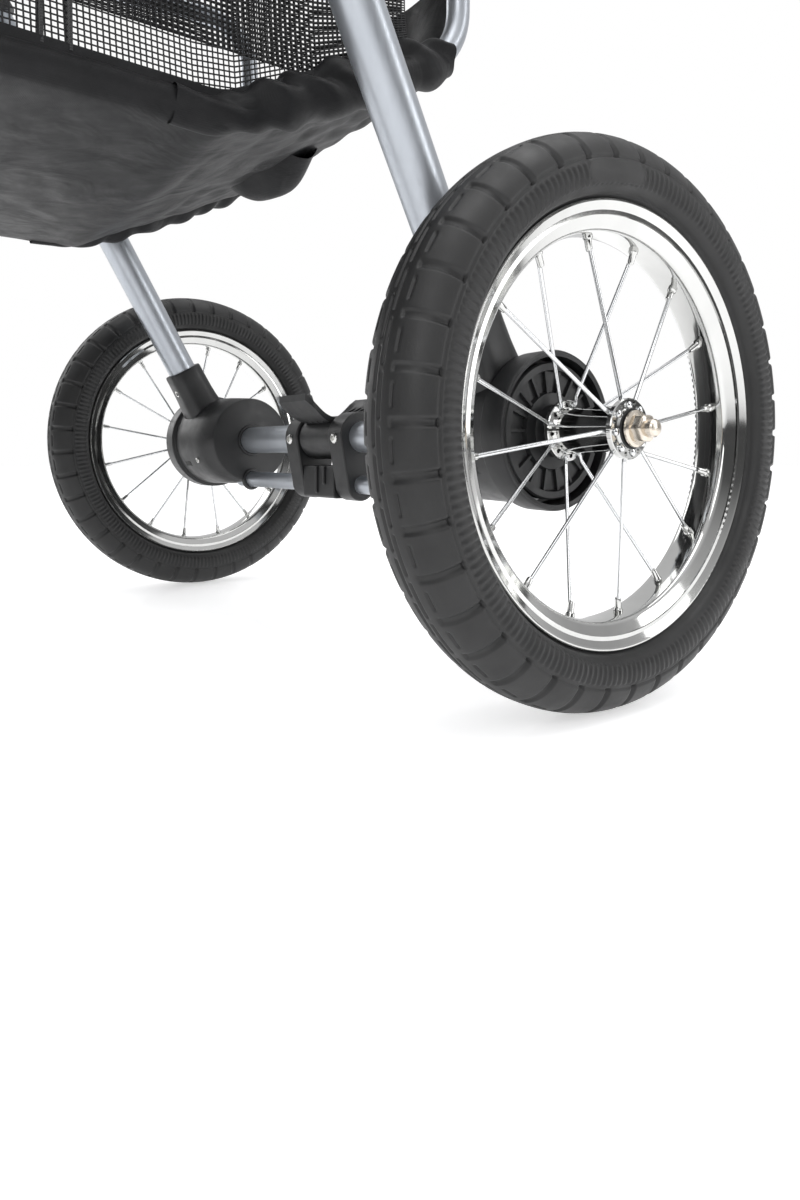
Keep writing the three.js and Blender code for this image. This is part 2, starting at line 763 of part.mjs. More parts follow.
function footrestTube() {
  const a = footAnchor(1);
  const drop = a.z - TUBE_R * 1.2;
  const path = bent(
    [
      V(FOOT_X, a.y, drop),
      V(FOOT_X, a.y + 12, FOOT_Z),
      V(-FOOT_X, a.y + 12, FOOT_Z),
      V(-FOOT_X, a.y, drop),
    ],
    26,
  );
  return meshOf('footrest_tube', cut(tube(path, FOOT_TUBE_R), ...frontSaddles()), FINISH.tube());
}

function footrestPlate() {
  const y = footAnchor(1).y + 12;
  const z = FOOT_Z + FOOT_TUBE_R + GAP;
  const outline = [
    [y - 38, z + 2],
    [y - 38, z],
    [y + 38, z],
    [y + 44, z + 6],
    [y + 42, z + 10],
    [y + 36, z + 6],
    [y - 34, z + 6],
  ];
  return meshOf('footrest_plate', plate(outline, -88, 88), FINISH.plastic());
}

// ---------------------------------------------------------------- seat
const SEAT_BAR_R = 9;
const SLING_R = 8;
const SEAT_BAR_S = 206; // along the front tubes from the pivot
const SLING_S = 80;
const SLING_Z = 468;

const seatBarAt = frameAt(1, SEAT_BAR_S);
const slingAt = frameAt(1, SLING_S);

function seatFrontBar() {
  const at = (x) => V(x, seatBarAt.y, seatBarAt.z);
  const bar = rod(at(-FRAME_DISC_X), at(FRAME_DISC_X), SEAT_BAR_R);
  return meshOf('seat_front_bar', cut(bar, ...frontSaddles()), FINISH.tube());
}

function seatSlingBar() {
  const top = (s) => V(s * FRAME_DISC_X, slingAt.y, slingAt.z);
  const foot = (s) => V(s * FRAME_DISC_X, slingAt.y, SLING_Z);
  const path = bent([top(1), foot(1), foot(-1), top(-1)], 24, 4);
  return meshOf('seat_sling_bar', cut(tube(path, SLING_R, 10), ...frontSaddles()), FINISH.tube());
}

// the seat board lies on both bars
const boardRear = V(0, slingAt.y, SLING_Z + SLING_R + GAP);
const boardFront = V(0, seatBarAt.y, seatBarAt.z + SEAT_BAR_R + GAP);
const SEAT_TILT = Math.atan2(boardFront.z - boardRear.z, boardRear.y - boardFront.y);
const SEAT_DEPTH = 182;
const SEAT_REAR_Y = 55; // seat's rear edge behind the sling bar

function seatSlab(name, halfW, z0, z1, material) {
  const y0 = SEAT_REAR_Y - SEAT_DEPTH;
  const outline = [
    [SEAT_REAR_Y, z0],
    [SEAT_REAR_Y, z1 - 3],
    [SEAT_REAR_Y - 4, z1],
    [y0 + 6, z1],
    [y0, z1 - 5],
    [y0, z0],
  ];
  const mesh = meshOf(name, plate(outline, -halfW, halfW), material);
  mesh.position.copy(boardRear);
  mesh.position.z += 0.2;
  mesh.rotation.x = -SEAT_TILT;
  return mesh;
}

const seatBoard = () => seatSlab('seat_board', SEAT_HALF_W, 0, BOARD_T, FINISH.plastic());
const seatPad = () =>
  seatSlab('seat_pad', SEAT_HALF_W + 2, BOARD_T + GAP, BOARD_T + PAD_T, FINISH.fabric());

// the backrest leans on its hinge line at the seat's rear edge
const RECLINE = V(0, PIVOT.y - 3, PIVOT.z - 60);

function backSlab(name, y0, y1, z0, z1, material) {
  const round = (y1 - y0) * 0.3;
  const outline = [
    [y0, z0],
    [y1, z0],
    [y1, z1 - round],
    [y1 - round, z1],
    [y0 + round, z1],
    [y0, z1 - round],
  ];
  const mesh = meshOf(name, plate(outline, -BACK_HALF_W, BACK_HALF_W), material);
  mesh.position.copy(RECLINE);
  mesh.rotation.x = -BACK_LEAN;
  return mesh;
}

const backrestBoard = () =>
  backSlab('backrest_board', -4, 3, 16, BACK_HEIGHT - 6, FINISH.plastic());
const backrestPad = () =>
  backSlab('backrest_pad', -34, -4 - GAP, 22, BACK_HEIGHT, FINISH.fabric());

// ---------------------------------------------------------------- handle
function handleTube() {
  const corner = (s) => alongTo(handleStart(s), handleTop(s), HANDLE_LENGTH);
  const path = bent(
    [handleAt(1, HUB_SOCKET_FROM + 2), corner(1), corner(-1), handleAt(-1, HUB_SOCKET_FROM + 2)],
    60,
    5,
  );
  return meshOf('handle_tube', tube(path, TUBE_R, 14), FINISH.tube());
}

function handleGrip() {
  const top = alongTo(handleStart(1), handleTop(1), HANDLE_LENGTH);
  const at = (x) => V(x, top.y, top.z);
  return meshOf(
    'handle_grip',
    cut(
      rod(at(-GRIP_HALF), at(GRIP_HALF), TUBE_R + 5),
      bore(at(-GRIP_HALF - 5), at(GRIP_HALF + 5), TUBE_R),
    ),
    FINISH.foam(),
  );
}

// spring collar on the handle tube that locks the fold joint
const COLLAR_FROM = HUB_SOCKET_TO + 1;
const COLLAR_LENGTH = 46;

function foldCollar(side) {
  const s = SIDES[side];
  const at = (d) => handleAt(s, d);
  return meshOf(
    `fold_collar_${side}`,
    cut(
      rod(at(COLLAR_FROM), at(COLLAR_FROM + COLLAR_LENGTH), TUBE_R + 6),
      bore(at(COLLAR_FROM - 5), at(COLLAR_FROM + COLLAR_LENGTH + 5), TUBE_R),
    ),
    FINISH.plastic(),
  );
}

// ---------------------------------------------------------------- canopy
const canopyPivot = (side) => handleAt(side, CANOPY_S);
const RIB_REAR_X = canopyPivot(1).x + 31;
const RIB_FRONT_X = RIB_REAR_X + 2 * RIB_R + 1.5;

function canopyClamp(side) {
  const s = SIDES[side];
  const c = canopyPivot(s);
  const at = (x) => V(s * x, c.y, c.z);
  const boss = RIB_REAR_X - RIB_R - GAP;
  return meshOf(
    `canopy_clamp_${side}`,
    cut(
      join(
        rod(handleAt(s, CANOPY_S - 17), handleAt(s, CANOPY_S + 17), SOCKET_R + 1),
        rod(at(Math.abs(c.x)), at(boss), 12),
        rod(at(boss - 1), at(RIB_FRONT_X + RIB_R + 2), 3, 10),
      ),
      bore(handleAt(s, CANOPY_S - 30), handleAt(s, CANOPY_S + 30), TUBE_R),
    ),
    FINISH.plastic(),
  );
}

// a hoop rib in its own plane: X across, Y outward from the pivots
function canopyRib(name, x, angle) {
  const path = bent(
    [V(x, 8, 0), V(x, CANOPY_R, 0), V(-x, CANOPY_R, 0), V(-x, 8, 0)],
    RIB_BEND,
    5,
  );
  const eye = (s) => rod(V(s * x - RIB_R, 0, 0), V(s * x + RIB_R, 0, 0), 9, 12);
  const hole = (s) => bore(V(s * x - 9, 0, 0), V(s * x + 9, 0, 0), 3, 8);
  const body = cut(join(tube(path, RIB_R), eye(1), eye(-1)), hole(1), hole(-1));
  const mesh = meshOf(name, body, FINISH.steel());
  const c = canopyPivot(1);
  mesh.position.set(0, c.y, c.z);
  mesh.rotation.x = angle;
  return mesh;
}

// hood cloth stretched over the two ribs, open at the front, rear and below
function canopyFabric() {
  const skin = RIB_R + 2;
  const arch = (offset) => {
    const x = RIB_FRONT_X + skin + offset;
    const r = CANOPY_R + skin + offset;
    const corner = bent([V(x, 34, 0), V(x, r, 0), V(0, r, 0)], RIB_BEND + skin + offset, 5);
    return corner.slice(0, -1).map((p) => [p.x, p.y]);
  };
  const outer = arch(CLOTH);
  const inner = arch(0);
  const mirrored = (points) => points.map(([x, r]) => [-x, r]).reverse();
  const innerBack = inner.map(([x, r]) => [-x, r]);
  const profile = [...outer, ...mirrored(outer), ...innerBack, ...inner.slice().reverse()];
  const dome = turned(profile, 48);
  const reach = CANOPY_R * 1.6;
  const steps = 4;
  const wedge = [[0, 0]];
  for (let i = 0; i <= steps; i += 1) {
    const a = CANOPY_REAR + ((CANOPY_FRONT - CANOPY_REAR) * i) / steps;
    wedge.push([reach * Math.cos(a), reach * Math.sin(a)]);
  }
  const c = canopyPivot(1);
  const mesh = meshOf('canopy_fabric', dome.intersect(plate(wedge, -300, 300)), FINISH.fabric());
  mesh.position.set(0, c.y, c.z);
  return mesh;
}

// ---------------------------------------------------------------- basket
// side view of the hoop that carries the basket: front bar, low bend, rear bend and top
const HOOP_FRONT = [-392, 318];
const HOOP_LOW = [-160, 314];
const HOOP_REAR = [4, 394];
const HOOP_TOP = [4, 530];
const HOOP_RISE = THREE.MathUtils.degToRad(12); // of its ends, seen from the pivots

const hoopEnd = (side, d) =>
  V(
    side * FRAME_DISC_X,
    PIVOT.y + d * Math.cos(HOOP_RISE),
    PIVOT.z - d * Math.sin(HOOP_RISE),
  );

function basketHoop() {
  const side = (s) => [
    hoopEnd(s, HUB_SOCKET_FROM + 2),
    hoopEnd(s, HUB_SOCKET_TO + 16),
    V(s * HOOP_X, ...HOOP_TOP),
    V(s * HOOP_X, ...HOOP_REAR),
    V(s * HOOP_X, ...HOOP_LOW),
    V(s * HOOP_X, ...HOOP_FRONT),
  ];
  const path = bent([...side(1), ...side(-1).reverse()], 42);
  return meshOf('basket_hoop', tube(path, HOOP_R), FINISH.tube());
}

// side view of the basket, from its front foot round by the rear
function basketOutline(inset) {
  return [
    [HOOP_FRONT[0] + 36 + inset, HOOP_FRONT[1] + inset],
    [HOOP_LOW[0] + inset * 0.3, HOOP_LOW[1] + inset],
    [HOOP_REAR[0] - 10 - inset, HOOP_REAR[1] - 6 + inset],
    [HOOP_REAR[0] - 10 - inset, BASKET_TOP_Z + (inset ? 20 : 0)],
    [HOOP_FRONT[0] + 36 + inset, BASKET_TOP_Z - 30 + (inset ? 20 : 0)],
  ];
}

function basket() {
  const shell = cut(
    plate(basketOutline(0), -BASKET_HALF_W, BASKET_HALF_W),
    plate(basketOutline(BASKET_T), -BASKET_HALF_W + BASKET_T, BASKET_HALF_W - BASKET_T),
  );
  return meshOf('basket', shell, FINISH.mesh());
}

// ---------------------------------------------------------------- assembly
const stroller = new THREE.Group();
for (const side of ['left', 'right']) {
  const s = SIDES[side];
  stroller.add(
    rearWheel(side),
    drumHousing(side),
    brakeTube(side),
    brakeRod(side),
    axleCheek(side),
    rearLeg(side),
    foldDisc(`leg_disc_${side}`, side, LEG_DISC_X, legAt(s, 0)),
    foldDisc(`frame_disc_${side}`, side, FRAME_DISC_X, knee(s), true),
    foldDisc(`handle_disc_${side}`, side, HANDLE_DISC_X, handleTop(s)),
    pivotBolt(side),
    frontTube(side),
    foldCollar(side),
    canopyClamp(side),
  );
}
stroller.add(
  axleTube(),
  brakeBlock(),
  brakePedal(),
  frontWheel(),
  steeringHead(),
  frontFork(),
  stemCap(),
  frontAxle(),
  footrestTube(),
  footrestPlate(),
  seatFrontBar(),
  seatSlingBar(),
  seatBoard(),
  seatPad(),
  backrestBoard(),
  backrestPad(),
  handleTube(),
  handleGrip(),
  canopyRib('canopy_rib_rear', RIB_REAR_X, CANOPY_REAR),
  canopyRib('canopy_rib_front', RIB_FRONT_X, CANOPY_FRONT),
  canopyFabric(),
  basketHoop(),
  basket(),
);

// the row frame's origin is on the floor, under the middle of the stroller
stroller.updateMatrixWorld(true);
const whole = new THREE.Box3().setFromObject(stroller, true);
stroller.position.y = -(whole.min.y + whole.max.y) / 2;

export default stroller;
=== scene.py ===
"""All-terrain baby stroller: the looks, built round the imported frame.

Lengths are in millimetres from a point on the floor under the middle of the rear axle
(-Y to the front, +X to the stroller's left) and become metres in the row frame at the end.
"""

import math

import bmesh
import bpy
import numpy as np
from mathutils import Matrix, Vector


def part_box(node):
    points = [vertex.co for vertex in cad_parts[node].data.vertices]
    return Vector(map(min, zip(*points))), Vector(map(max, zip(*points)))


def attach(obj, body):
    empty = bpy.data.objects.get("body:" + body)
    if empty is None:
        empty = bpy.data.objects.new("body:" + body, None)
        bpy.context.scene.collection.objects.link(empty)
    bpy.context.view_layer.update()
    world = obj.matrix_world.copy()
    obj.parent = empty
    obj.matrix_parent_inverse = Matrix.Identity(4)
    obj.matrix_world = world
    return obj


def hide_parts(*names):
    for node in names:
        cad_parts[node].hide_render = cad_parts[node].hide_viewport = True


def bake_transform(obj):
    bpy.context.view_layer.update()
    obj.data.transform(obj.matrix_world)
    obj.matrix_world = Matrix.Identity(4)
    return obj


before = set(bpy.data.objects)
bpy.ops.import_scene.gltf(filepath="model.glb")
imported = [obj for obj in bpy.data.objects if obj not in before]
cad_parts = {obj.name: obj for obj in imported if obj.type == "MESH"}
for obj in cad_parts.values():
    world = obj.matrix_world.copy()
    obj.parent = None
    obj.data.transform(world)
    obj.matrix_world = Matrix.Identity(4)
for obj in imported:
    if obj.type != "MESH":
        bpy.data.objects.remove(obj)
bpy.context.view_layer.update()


def middle(node):
    low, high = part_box(node)
    return (low + high) / 2


AXLE_Y = middle("axle_tube").y * 1000
SIDES = {"left": 1, "right": -1}
WHEEL_R = 150.0
rng = np.random.default_rng(7)


# ---------------------------------------------------------------- mesh helpers
def v3(x, y, z):
    return np.array([x, y, z], float)


def unit(v):
    return v / np.linalg.norm(v)


def toward(a, b, s):
    return a + unit(b - a) * s


def quads(nu, nv, wrap_u=False, wrap_v=False):
    """Faces of a grid of nu by nv points, point (i, j) at i * nv + j."""
    i = np.arange(nu if wrap_u else nu - 1)
    j = np.arange(nv if wrap_v else nv - 1)
    i, j = np.meshgrid(i, j, indexing="ij")
    a, b = i * nv + j, ((i + 1) % nu) * nv + j
    c, d = ((i + 1) % nu) * nv + (j + 1) % nv, i * nv + (j + 1) % nv
    return np.stack([a, b, c, d], -1).reshape(-1, 4)


class Shape:
    """Points and faces of one piece."""

    def __init__(self):
        self.points, self.faces, self.count = [], [], 0

    def add(self, points, faces):
        points = np.asarray(points, float).reshape(-1, 3)
        self.points.append(points)
        self.faces += [[k + self.count for k in f] for f in np.asarray(faces, object).tolist()] \
            if isinstance(faces, np.ndarray) else [[k + self.count for k in f] for f in faces]
        self.count += len(points)
        return self

    def turned(self, profile, n=96, centre=(0, 0, 0), flip=1, closed=True):
        """A profile of (x, radius) turned about the X axis."""
        x, r = np.array(profile, float).T
        a = np.arange(n) * 2 * math.pi / n
        p = np.stack(
            [
                np.broadcast_to(x * flip, (n, len(x))),
                np.outer(np.cos(a), r),
                np.outer(np.sin(a), r),
            ],
            -1,
        )
        return self.add(p + np.array(centre), quads(n, len(x), True, closed))

    def swept(self, path, radius, n=32, caps=True, section=None, closed=False):
        """A round or shaped section carried along a path."""
        path = np.asarray(path, float)
        m = len(path)
        radius = np.broadcast_to(np.asarray(radius, float), (m,))
        tangent = np.gradient(path, axis=0)
        if closed:
            tangent = np.roll(path, -1, 0) - np.roll(path, 1, 0)
        tangent /= np.linalg.norm(tangent, axis=1)[:, None]
        ref = v3(0, 0, 1) if abs(tangent[0][2]) < 0.9 else v3(1, 0, 0)
        side = unit(np.cross(ref, tangent[0]))
        if section is None:
            a = np.arange(n) * 2 * math.pi / n
            section = np.stack([np.cos(a), np.sin(a)], -1)
        n = len(section)
        rows = []
        for k in range(m):
            side = unit(side - tangent[k] * np.dot(side, tangent[k]))
            up = np.cross(tangent[k], side)
            rows.append(path[k] + radius[k] * (section[:, :1] * side + section[:, 1:] * up))
        self.add(np.array(rows), quads(m, n, closed, True))
        if caps and not closed:
            base = self.count - m * n
            self.faces.append([base + k for k in range(n)][::-1])
            self.faces.append([base + (m - 1) * n + k for k in range(n)])
        return self

    def rod(self, a, b, r, n=32):
        return self.swept([a, b], r, n)

    def plate(self, outline, x0, x1, centre=(0, 0, 0)):
        """An outline of (y, z) points carried along X."""
        n = len(outline)
        p = [[x, y, z] for x in (x0, x1) for y, z in outline]
        faces = [[k, (k + 1) % n, n + (k + 1) % n, n + k] for k in range(n)]
        faces += [list(range(n))[::-1], list(range(n, 2 * n))]
        return self.add(np.array(p) + np.array(centre), faces)

    def moved(self, matrix):
        """Turns and moves everything so far by a 3 by 4 matrix."""
        m = np.asarray(matrix, float)
        self.points = [p @ m[:, :3].T + m[:, 3] for p in self.points]
        return self


def mesh_of(name, shape, material, sharp=35, local=False):
    """A shape's mesh, in metres: in the row frame, or left in its own frame."""
    p = np.concatenate(shape.points)
    p = (p if local else p + v3(0, AXLE_Y, 0)) / 1000
    mesh = bpy.data.meshes.new(name)
    mesh.from_pydata(p.tolist(), [], shape.faces)
    bm = bmesh.new()
    bm.from_mesh(mesh)
    bmesh.ops.remove_doubles(bm, verts=bm.verts, dist=1e-6)
    bmesh.ops.recalc_face_normals(bm, faces=bm.faces)
    bm.to_mesh(mesh)
    bm.free()
    mesh.polygons.foreach_set("use_smooth", [True] * len(mesh.polygons))
    if sharp < 180:
        mesh.set_sharp_from_angle(angle=math.radians(sharp))
    mesh.materials.append(material)
    return mesh


def placed(name, mesh, body, replaces=(), slot=None, place=None, bevel=0.0, levels=0, solidify=0.0):
    """An object for a mesh, riding on its body."""
    obj = bpy.data.objects.new(name, mesh)
    bpy.context.scene.collection.objects.link(obj)
    if place is not None:
        obj.matrix_world = place
    if solidify:
        m = obj.modifiers.new("thickness", "SOLIDIFY")
        m.thickness = solidify / 1000
        m.offset = 0
    if bevel:
        m = obj.modifiers.new("edges", "BEVEL")
        m.width = bevel / 1000
        m.segments = 3
        m.limit_method = "ANGLE"
        m.angle_limit = math.radians(32)
        m.harden_normals = True
    if levels:
        m = obj.modifiers.new("smooth", "SUBSURF")
        m.levels = m.render_levels = levels
    if body:
        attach(obj, body)
    if replaces:
        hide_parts(*replaces)
    return obj


def piece(name, shape, material, body, sharp=35, **more):
    return placed(name, mesh_of(name, shape, material, sharp), body, **more)


def bent(corners, radius, steps=14):
    """A path through corners, each rounded to a radius."""
    corners = [np.asarray(c, float) for c in corners]
    path = [corners[0]]
    for before, corner, after in zip(corners, corners[1:], corners[2:]):
        a, b = unit(before - corner), unit(after - corner)
        half = math.acos(max(-1, min(1, float(np.dot(a, b))))) / 2
        cut = min(
            radius / math.tan(half),
            0.48 * np.linalg.norm(before - corner),
            0.48 * np.linalg.norm(after - corner),
        )
        r = cut * math.tan(half)
        centre = corner + unit(a + b) * (r / math.sin(half))
        start, end = corner + a * cut - centre, corner + b * cut - centre
        turn = math.acos(max(-1, min(1, float(np.dot(unit(start), unit(end))))))
        for k in range(steps + 1):
            t = k / steps
            p = (math.sin((1 - t) * turn) * start + math.sin(t * turn) * end) / math.sin(turn)
            path.append(centre + p)
    path.append(corners[-1])
    return np.array(path)


def resampled(path, count):
    path = np.asarray(path, float)
    d = np.concatenate([[0], np.cumsum(np.linalg.norm(np.diff(path, axis=0), axis=1))])
    s = np.linspace(0, d[-1], count)
    return np.stack([np.interp(s, d, path[:, k]) for k in range(3)], -1)


def smooth(a, b, x):
    t = np.clip((np.asarray(x, float) - a) / (b - a), 0, 1)
    return t * t * (3 - 2 * t)


# ---------------------------------------------------------------- materials
class Nodes:
    """A material's node tree, with a call for each kind of node used here."""

    def __init__(self, name):
        self.material = bpy.data.materials.new(name)
        self.material.use_nodes = True
        self.tree = self.material.node_tree
        self.shader = self.tree.nodes["Principled BSDF"]
        self.coords = self.tree.nodes.new("ShaderNodeTexCoord").outputs["Object"]

    def link(self, a, b):
        self.tree.links.new(a, b)

    def scaled(self, scale):
        m = self.tree.nodes.new("ShaderNodeMapping")
        m.inputs["Scale"].default_value = scale
        self.link(self.coords, m.inputs["Vector"])
        return m.outputs["Vector"]

    def noise(self, scale, detail=3.0, rough=0.55, distortion=0.0, coords=None):
        n = self.tree.nodes.new("ShaderNodeTexNoise")
        n.inputs["Scale"].default_value = scale
        n.inputs["Detail"].default_value = detail
        n.inputs["Roughness"].default_value = rough
        n.inputs["Distortion"].default_value = distortion
        self.link(coords or self.coords, n.inputs["Vector"])
        return n.outputs["Fac"]

    def wave(self, scale, direction="X", distortion=0.0, coords=None):
        n = self.tree.nodes.new("ShaderNodeTexWave")
        n.bands_direction = direction
        n.inputs["Scale"].default_value = scale
        n.inputs["Distortion"].default_value = distortion
        self.link(coords or self.coords, n.inputs["Vector"])
        return n.outputs["Fac"]

    def math(self, kind, a, b):
        n = self.tree.nodes.new("ShaderNodeMath")
        n.operation = kind
        for value, socket in zip((a, b), n.inputs):
            if isinstance(value, (int, float)):
                socket.default_value = value
            else:
                self.link(value, socket)
        return n.outputs[0]

    def spread(self, fac, low, high, start=0.3, end=0.7):
        n = self.tree.nodes.new("ShaderNodeMapRange")
        for key, value in (("From Min", start), ("From Max", end), ("To Min", low), ("To Max", high)):
            n.inputs[key].default_value = value
        self.link(fac, n.inputs["Value"])
        return n.outputs["Result"]

    def colours(self, fac, low, high, start=0.3, end=0.7):
        n = self.tree.nodes.new("ShaderNodeValToRGB")
        for k, (place, c) in enumerate(((start, low), (end, high))):
            n.color_ramp.elements[k].position = place
            n.color_ramp.elements[k].color = (*c, 1)
        self.link(fac, n.inputs["Fac"])
        return n.outputs["Color"]

    def bump(self, height, strength, distance, normal=None):
        n = self.tree.nodes.new("ShaderNodeBump")
        n.inputs["Strength"].default_value = strength
        n.inputs["Distance"].default_value = distance / 1000
        self.link(height, n.inputs["Height"])
        if normal is not None:
            self.link(normal, n.inputs["Normal"])
        return n.outputs["Normal"]

    def set(self, **values):
        names = {
            "colour": "Base Color",
            "metal": "Metallic",
            "rough": "Roughness",
            "normal": "Normal",
            "specular": "Specular IOR Level",
            "sheen": "Sheen Weight",
            "sheen_rough": "Sheen Roughness",
            "coat": "Coat Weight",
            "coat_rough": "Coat Roughness",
            "aniso": "Anisotropic",
        }
        for key, value in values.items():
            socket = self.shader.inputs[names[key]]
            if isinstance(value, (int, float)):
                socket.default_value = value
            elif isinstance(value, tuple):
                socket.default_value = (*value, 1)
            else:
                self.link(value, socket)
        return self.material


def rubber():
    n = Nodes("tyre_rubber")
    cloud = n.noise(22, 4)
    grain = n.noise(1400, 2)
    return n.set(
        colour=n.colours(cloud, (0.0085, 0.0085, 0.0087), (0.0145, 0.0145, 0.0147)),
        rough=n.spread(n.noise(60, 4), 0.44, 0.60),
        specular=0.48,
        normal=n.bump(grain, 0.22, 0.25),
    )


def chrome(name="chrome", tint=(0.60, 0.602, 0.59), rough=(0.045, 0.11), waves=0.05):
    n = Nodes(name)
    smear = n.noise(45, 3, 0.5, 0.4)
    return n.set(
        colour=n.colours(smear, tuple(0.93 * c for c in tint), tint),
        metal=1.0,
        rough=n.spread(smear, *rough),
        normal=n.bump(n.noise(26, 1), waves, 1.2),
    )


def anodised():
    n = Nodes("anodised_tube")
    grain = n.noise(700, 2, coords=n.scaled((1, 1, 0.12)))
    return n.set(
        colour=n.colours(n.noise(14, 3), (0.40, 0.425, 0.46), (0.47, 0.495, 0.53)),
        metal=0.82,
        rough=n.spread(grain, 0.30, 0.42),
        normal=n.bump(grain, 0.05, 0.12),
    )


def plastic(name="black_plastic", low=(0.0085, 0.0088, 0.0095), high=(0.0135, 0.0138, 0.0145),
            rough=(0.36, 0.50), grain=0.16):
    n = Nodes(name)
    pebble = n.noise(1700, 2)
    return n.set(
        colour=n.colours(n.noise(30, 3), low, high),
        rough=n.spread(n.noise(90, 4), *rough),
        specular=0.5,
        normal=n.bump(pebble, grain, 0.2),
    )


def nylon(name="black_nylon", low=(0.0035, 0.0036, 0.0042), high=(0.0065, 0.0066, 0.0076),
          pitch=0.7, creases=0.35, rough=(0.46, 0.62)):
    """Woven cloth: fine over-and-under threads, with soft creases over them."""
    n = Nodes(name)
    f = 1000 / pitch / 3.2
    weave = n.math(
        "MULTIPLY",
        n.math("ADD", n.wave(f, "X"), n.wave(f, "Y")),
        n.math("ADD", n.wave(f, "Z"), 0.35),
    )
    crease = n.noise(17, 3, 0.5, 1.4)
    big = n.bump(crease, creases, 7.0)
    return n.set(
        colour=n.colours(n.noise(35, 3), low, high),
        rough=n.spread(n.noise(60, 3), *rough),
        specular=0.26,
        sheen=0.03,
        sheen_rough=0.35,
        normal=n.bump(weave, 0.25, 0.12, big),
    )


def foam():
    n = Nodes("grip_foam")
    return n.set(
        colour=n.colours(n.noise(500, 4), (0.012, 0.012, 0.012), (0.03, 0.03, 0.03)),
        rough=0.88,
        specular=0.25,
        normal=n.bump(n.noise(1100, 3), 0.55, 0.5),
    )


def webbing():
    n = Nodes("webbing")
    rib = n.math("ADD", n.wave(230, "Z"), n.wave(230, "Y"))
    return n.set(
        colour=n.colours(n.noise(300, 2), (0.012, 0.012, 0.013), (0.022, 0.022, 0.023)),
        rough=0.68,
        sheen=0.2,
        specular=0.35,
        normal=n.bump(rib, 0.5, 0.35),
    )


RUBBER = rubber()
CHROME = chrome()
SPOKE = chrome("spoke_steel", (0.72, 0.73, 0.74), (0.10, 0.20), 0.02)
NICKEL = chrome("nickel_nut", (0.66, 0.60, 0.52), (0.14, 0.26), 0.03)
ZINC = chrome("zinc_screw", (0.70, 0.70, 0.68), (0.18, 0.30), 0.02)
TUBE = anodised()
PLASTIC = plastic()
# matt black: the hub seal's own colour, and also painted shade for the slot in the drum housing
DARK = plastic("matt_black_and_slot_shade", (0.004, 0.004, 0.004), (0.007, 0.007, 0.007), (0.55, 0.7), 0.1)
NYLON = nylon()
HOOD = nylon("hood_nylon", (0.012, 0.0122, 0.013), (0.019, 0.0192, 0.0205), 0.8, 0.22)
SEAT = nylon("seat_fabric", (0.014, 0.0142, 0.0155), (0.023, 0.0235, 0.025), 1.3, 0.16, (0.6, 0.75))
PIPING = nylon("piping", (0.10, 0.10, 0.105), (0.14, 0.14, 0.145), 0.9, 0.05, (0.6, 0.7))
NET = plastic("net_thread", (0.010, 0.010, 0.011), (0.016, 0.016, 0.017), (0.6, 0.75), 0.05)
FOAM = foam()
WEB = webbing()


# ---------------------------------------------------------------- camera, floor and light
def aim():
    yaw, pitch = math.radians(53.69), math.radians(-3.05)
    look = Vector((-math.sin(yaw) * math.cos(pitch), math.cos(yaw) * math.cos(pitch), math.sin(pitch)))
    right = look.cross(Vector((0, 0, 1))).normalized()
    up = right.cross(look)
    m = Matrix((right, up, -look)).transposed().to_4x4()
    m.translation = Vector((0.5428, -0.0658, 0.1369))
    data = bpy.data.cameras.new("camera")
    data.sensor_fit = "VERTICAL"
    data.sensor_height = 36
    data.lens = 24.141
    data.shift_x = 0.0168
    data.shift_y = -0.0858
    data.clip_start = 0.01
    camera = bpy.data.objects.new("camera", data)
    camera.matrix_world = m
    bpy.context.scene.collection.objects.link(camera)
    bpy.context.scene.camera = camera


def area(name, place, target, size, power, colour=(1, 1, 1)):
    data = bpy.data.lights.new(name, "AREA")
    data.shape = "RECTANGLE"
    data.size, data.size_y = size
    data.energy = power
    data.color = colour
    light = bpy.data.objects.new(name, data)
    place, target = Vector(place), Vector(target)
    light.matrix_world = Matrix.Translation(place) @ (target - place).to_track_quat("-Z", "Y").to_matrix().to_4x4()
    bpy.context.scene.collection.objects.link(light)
    return light


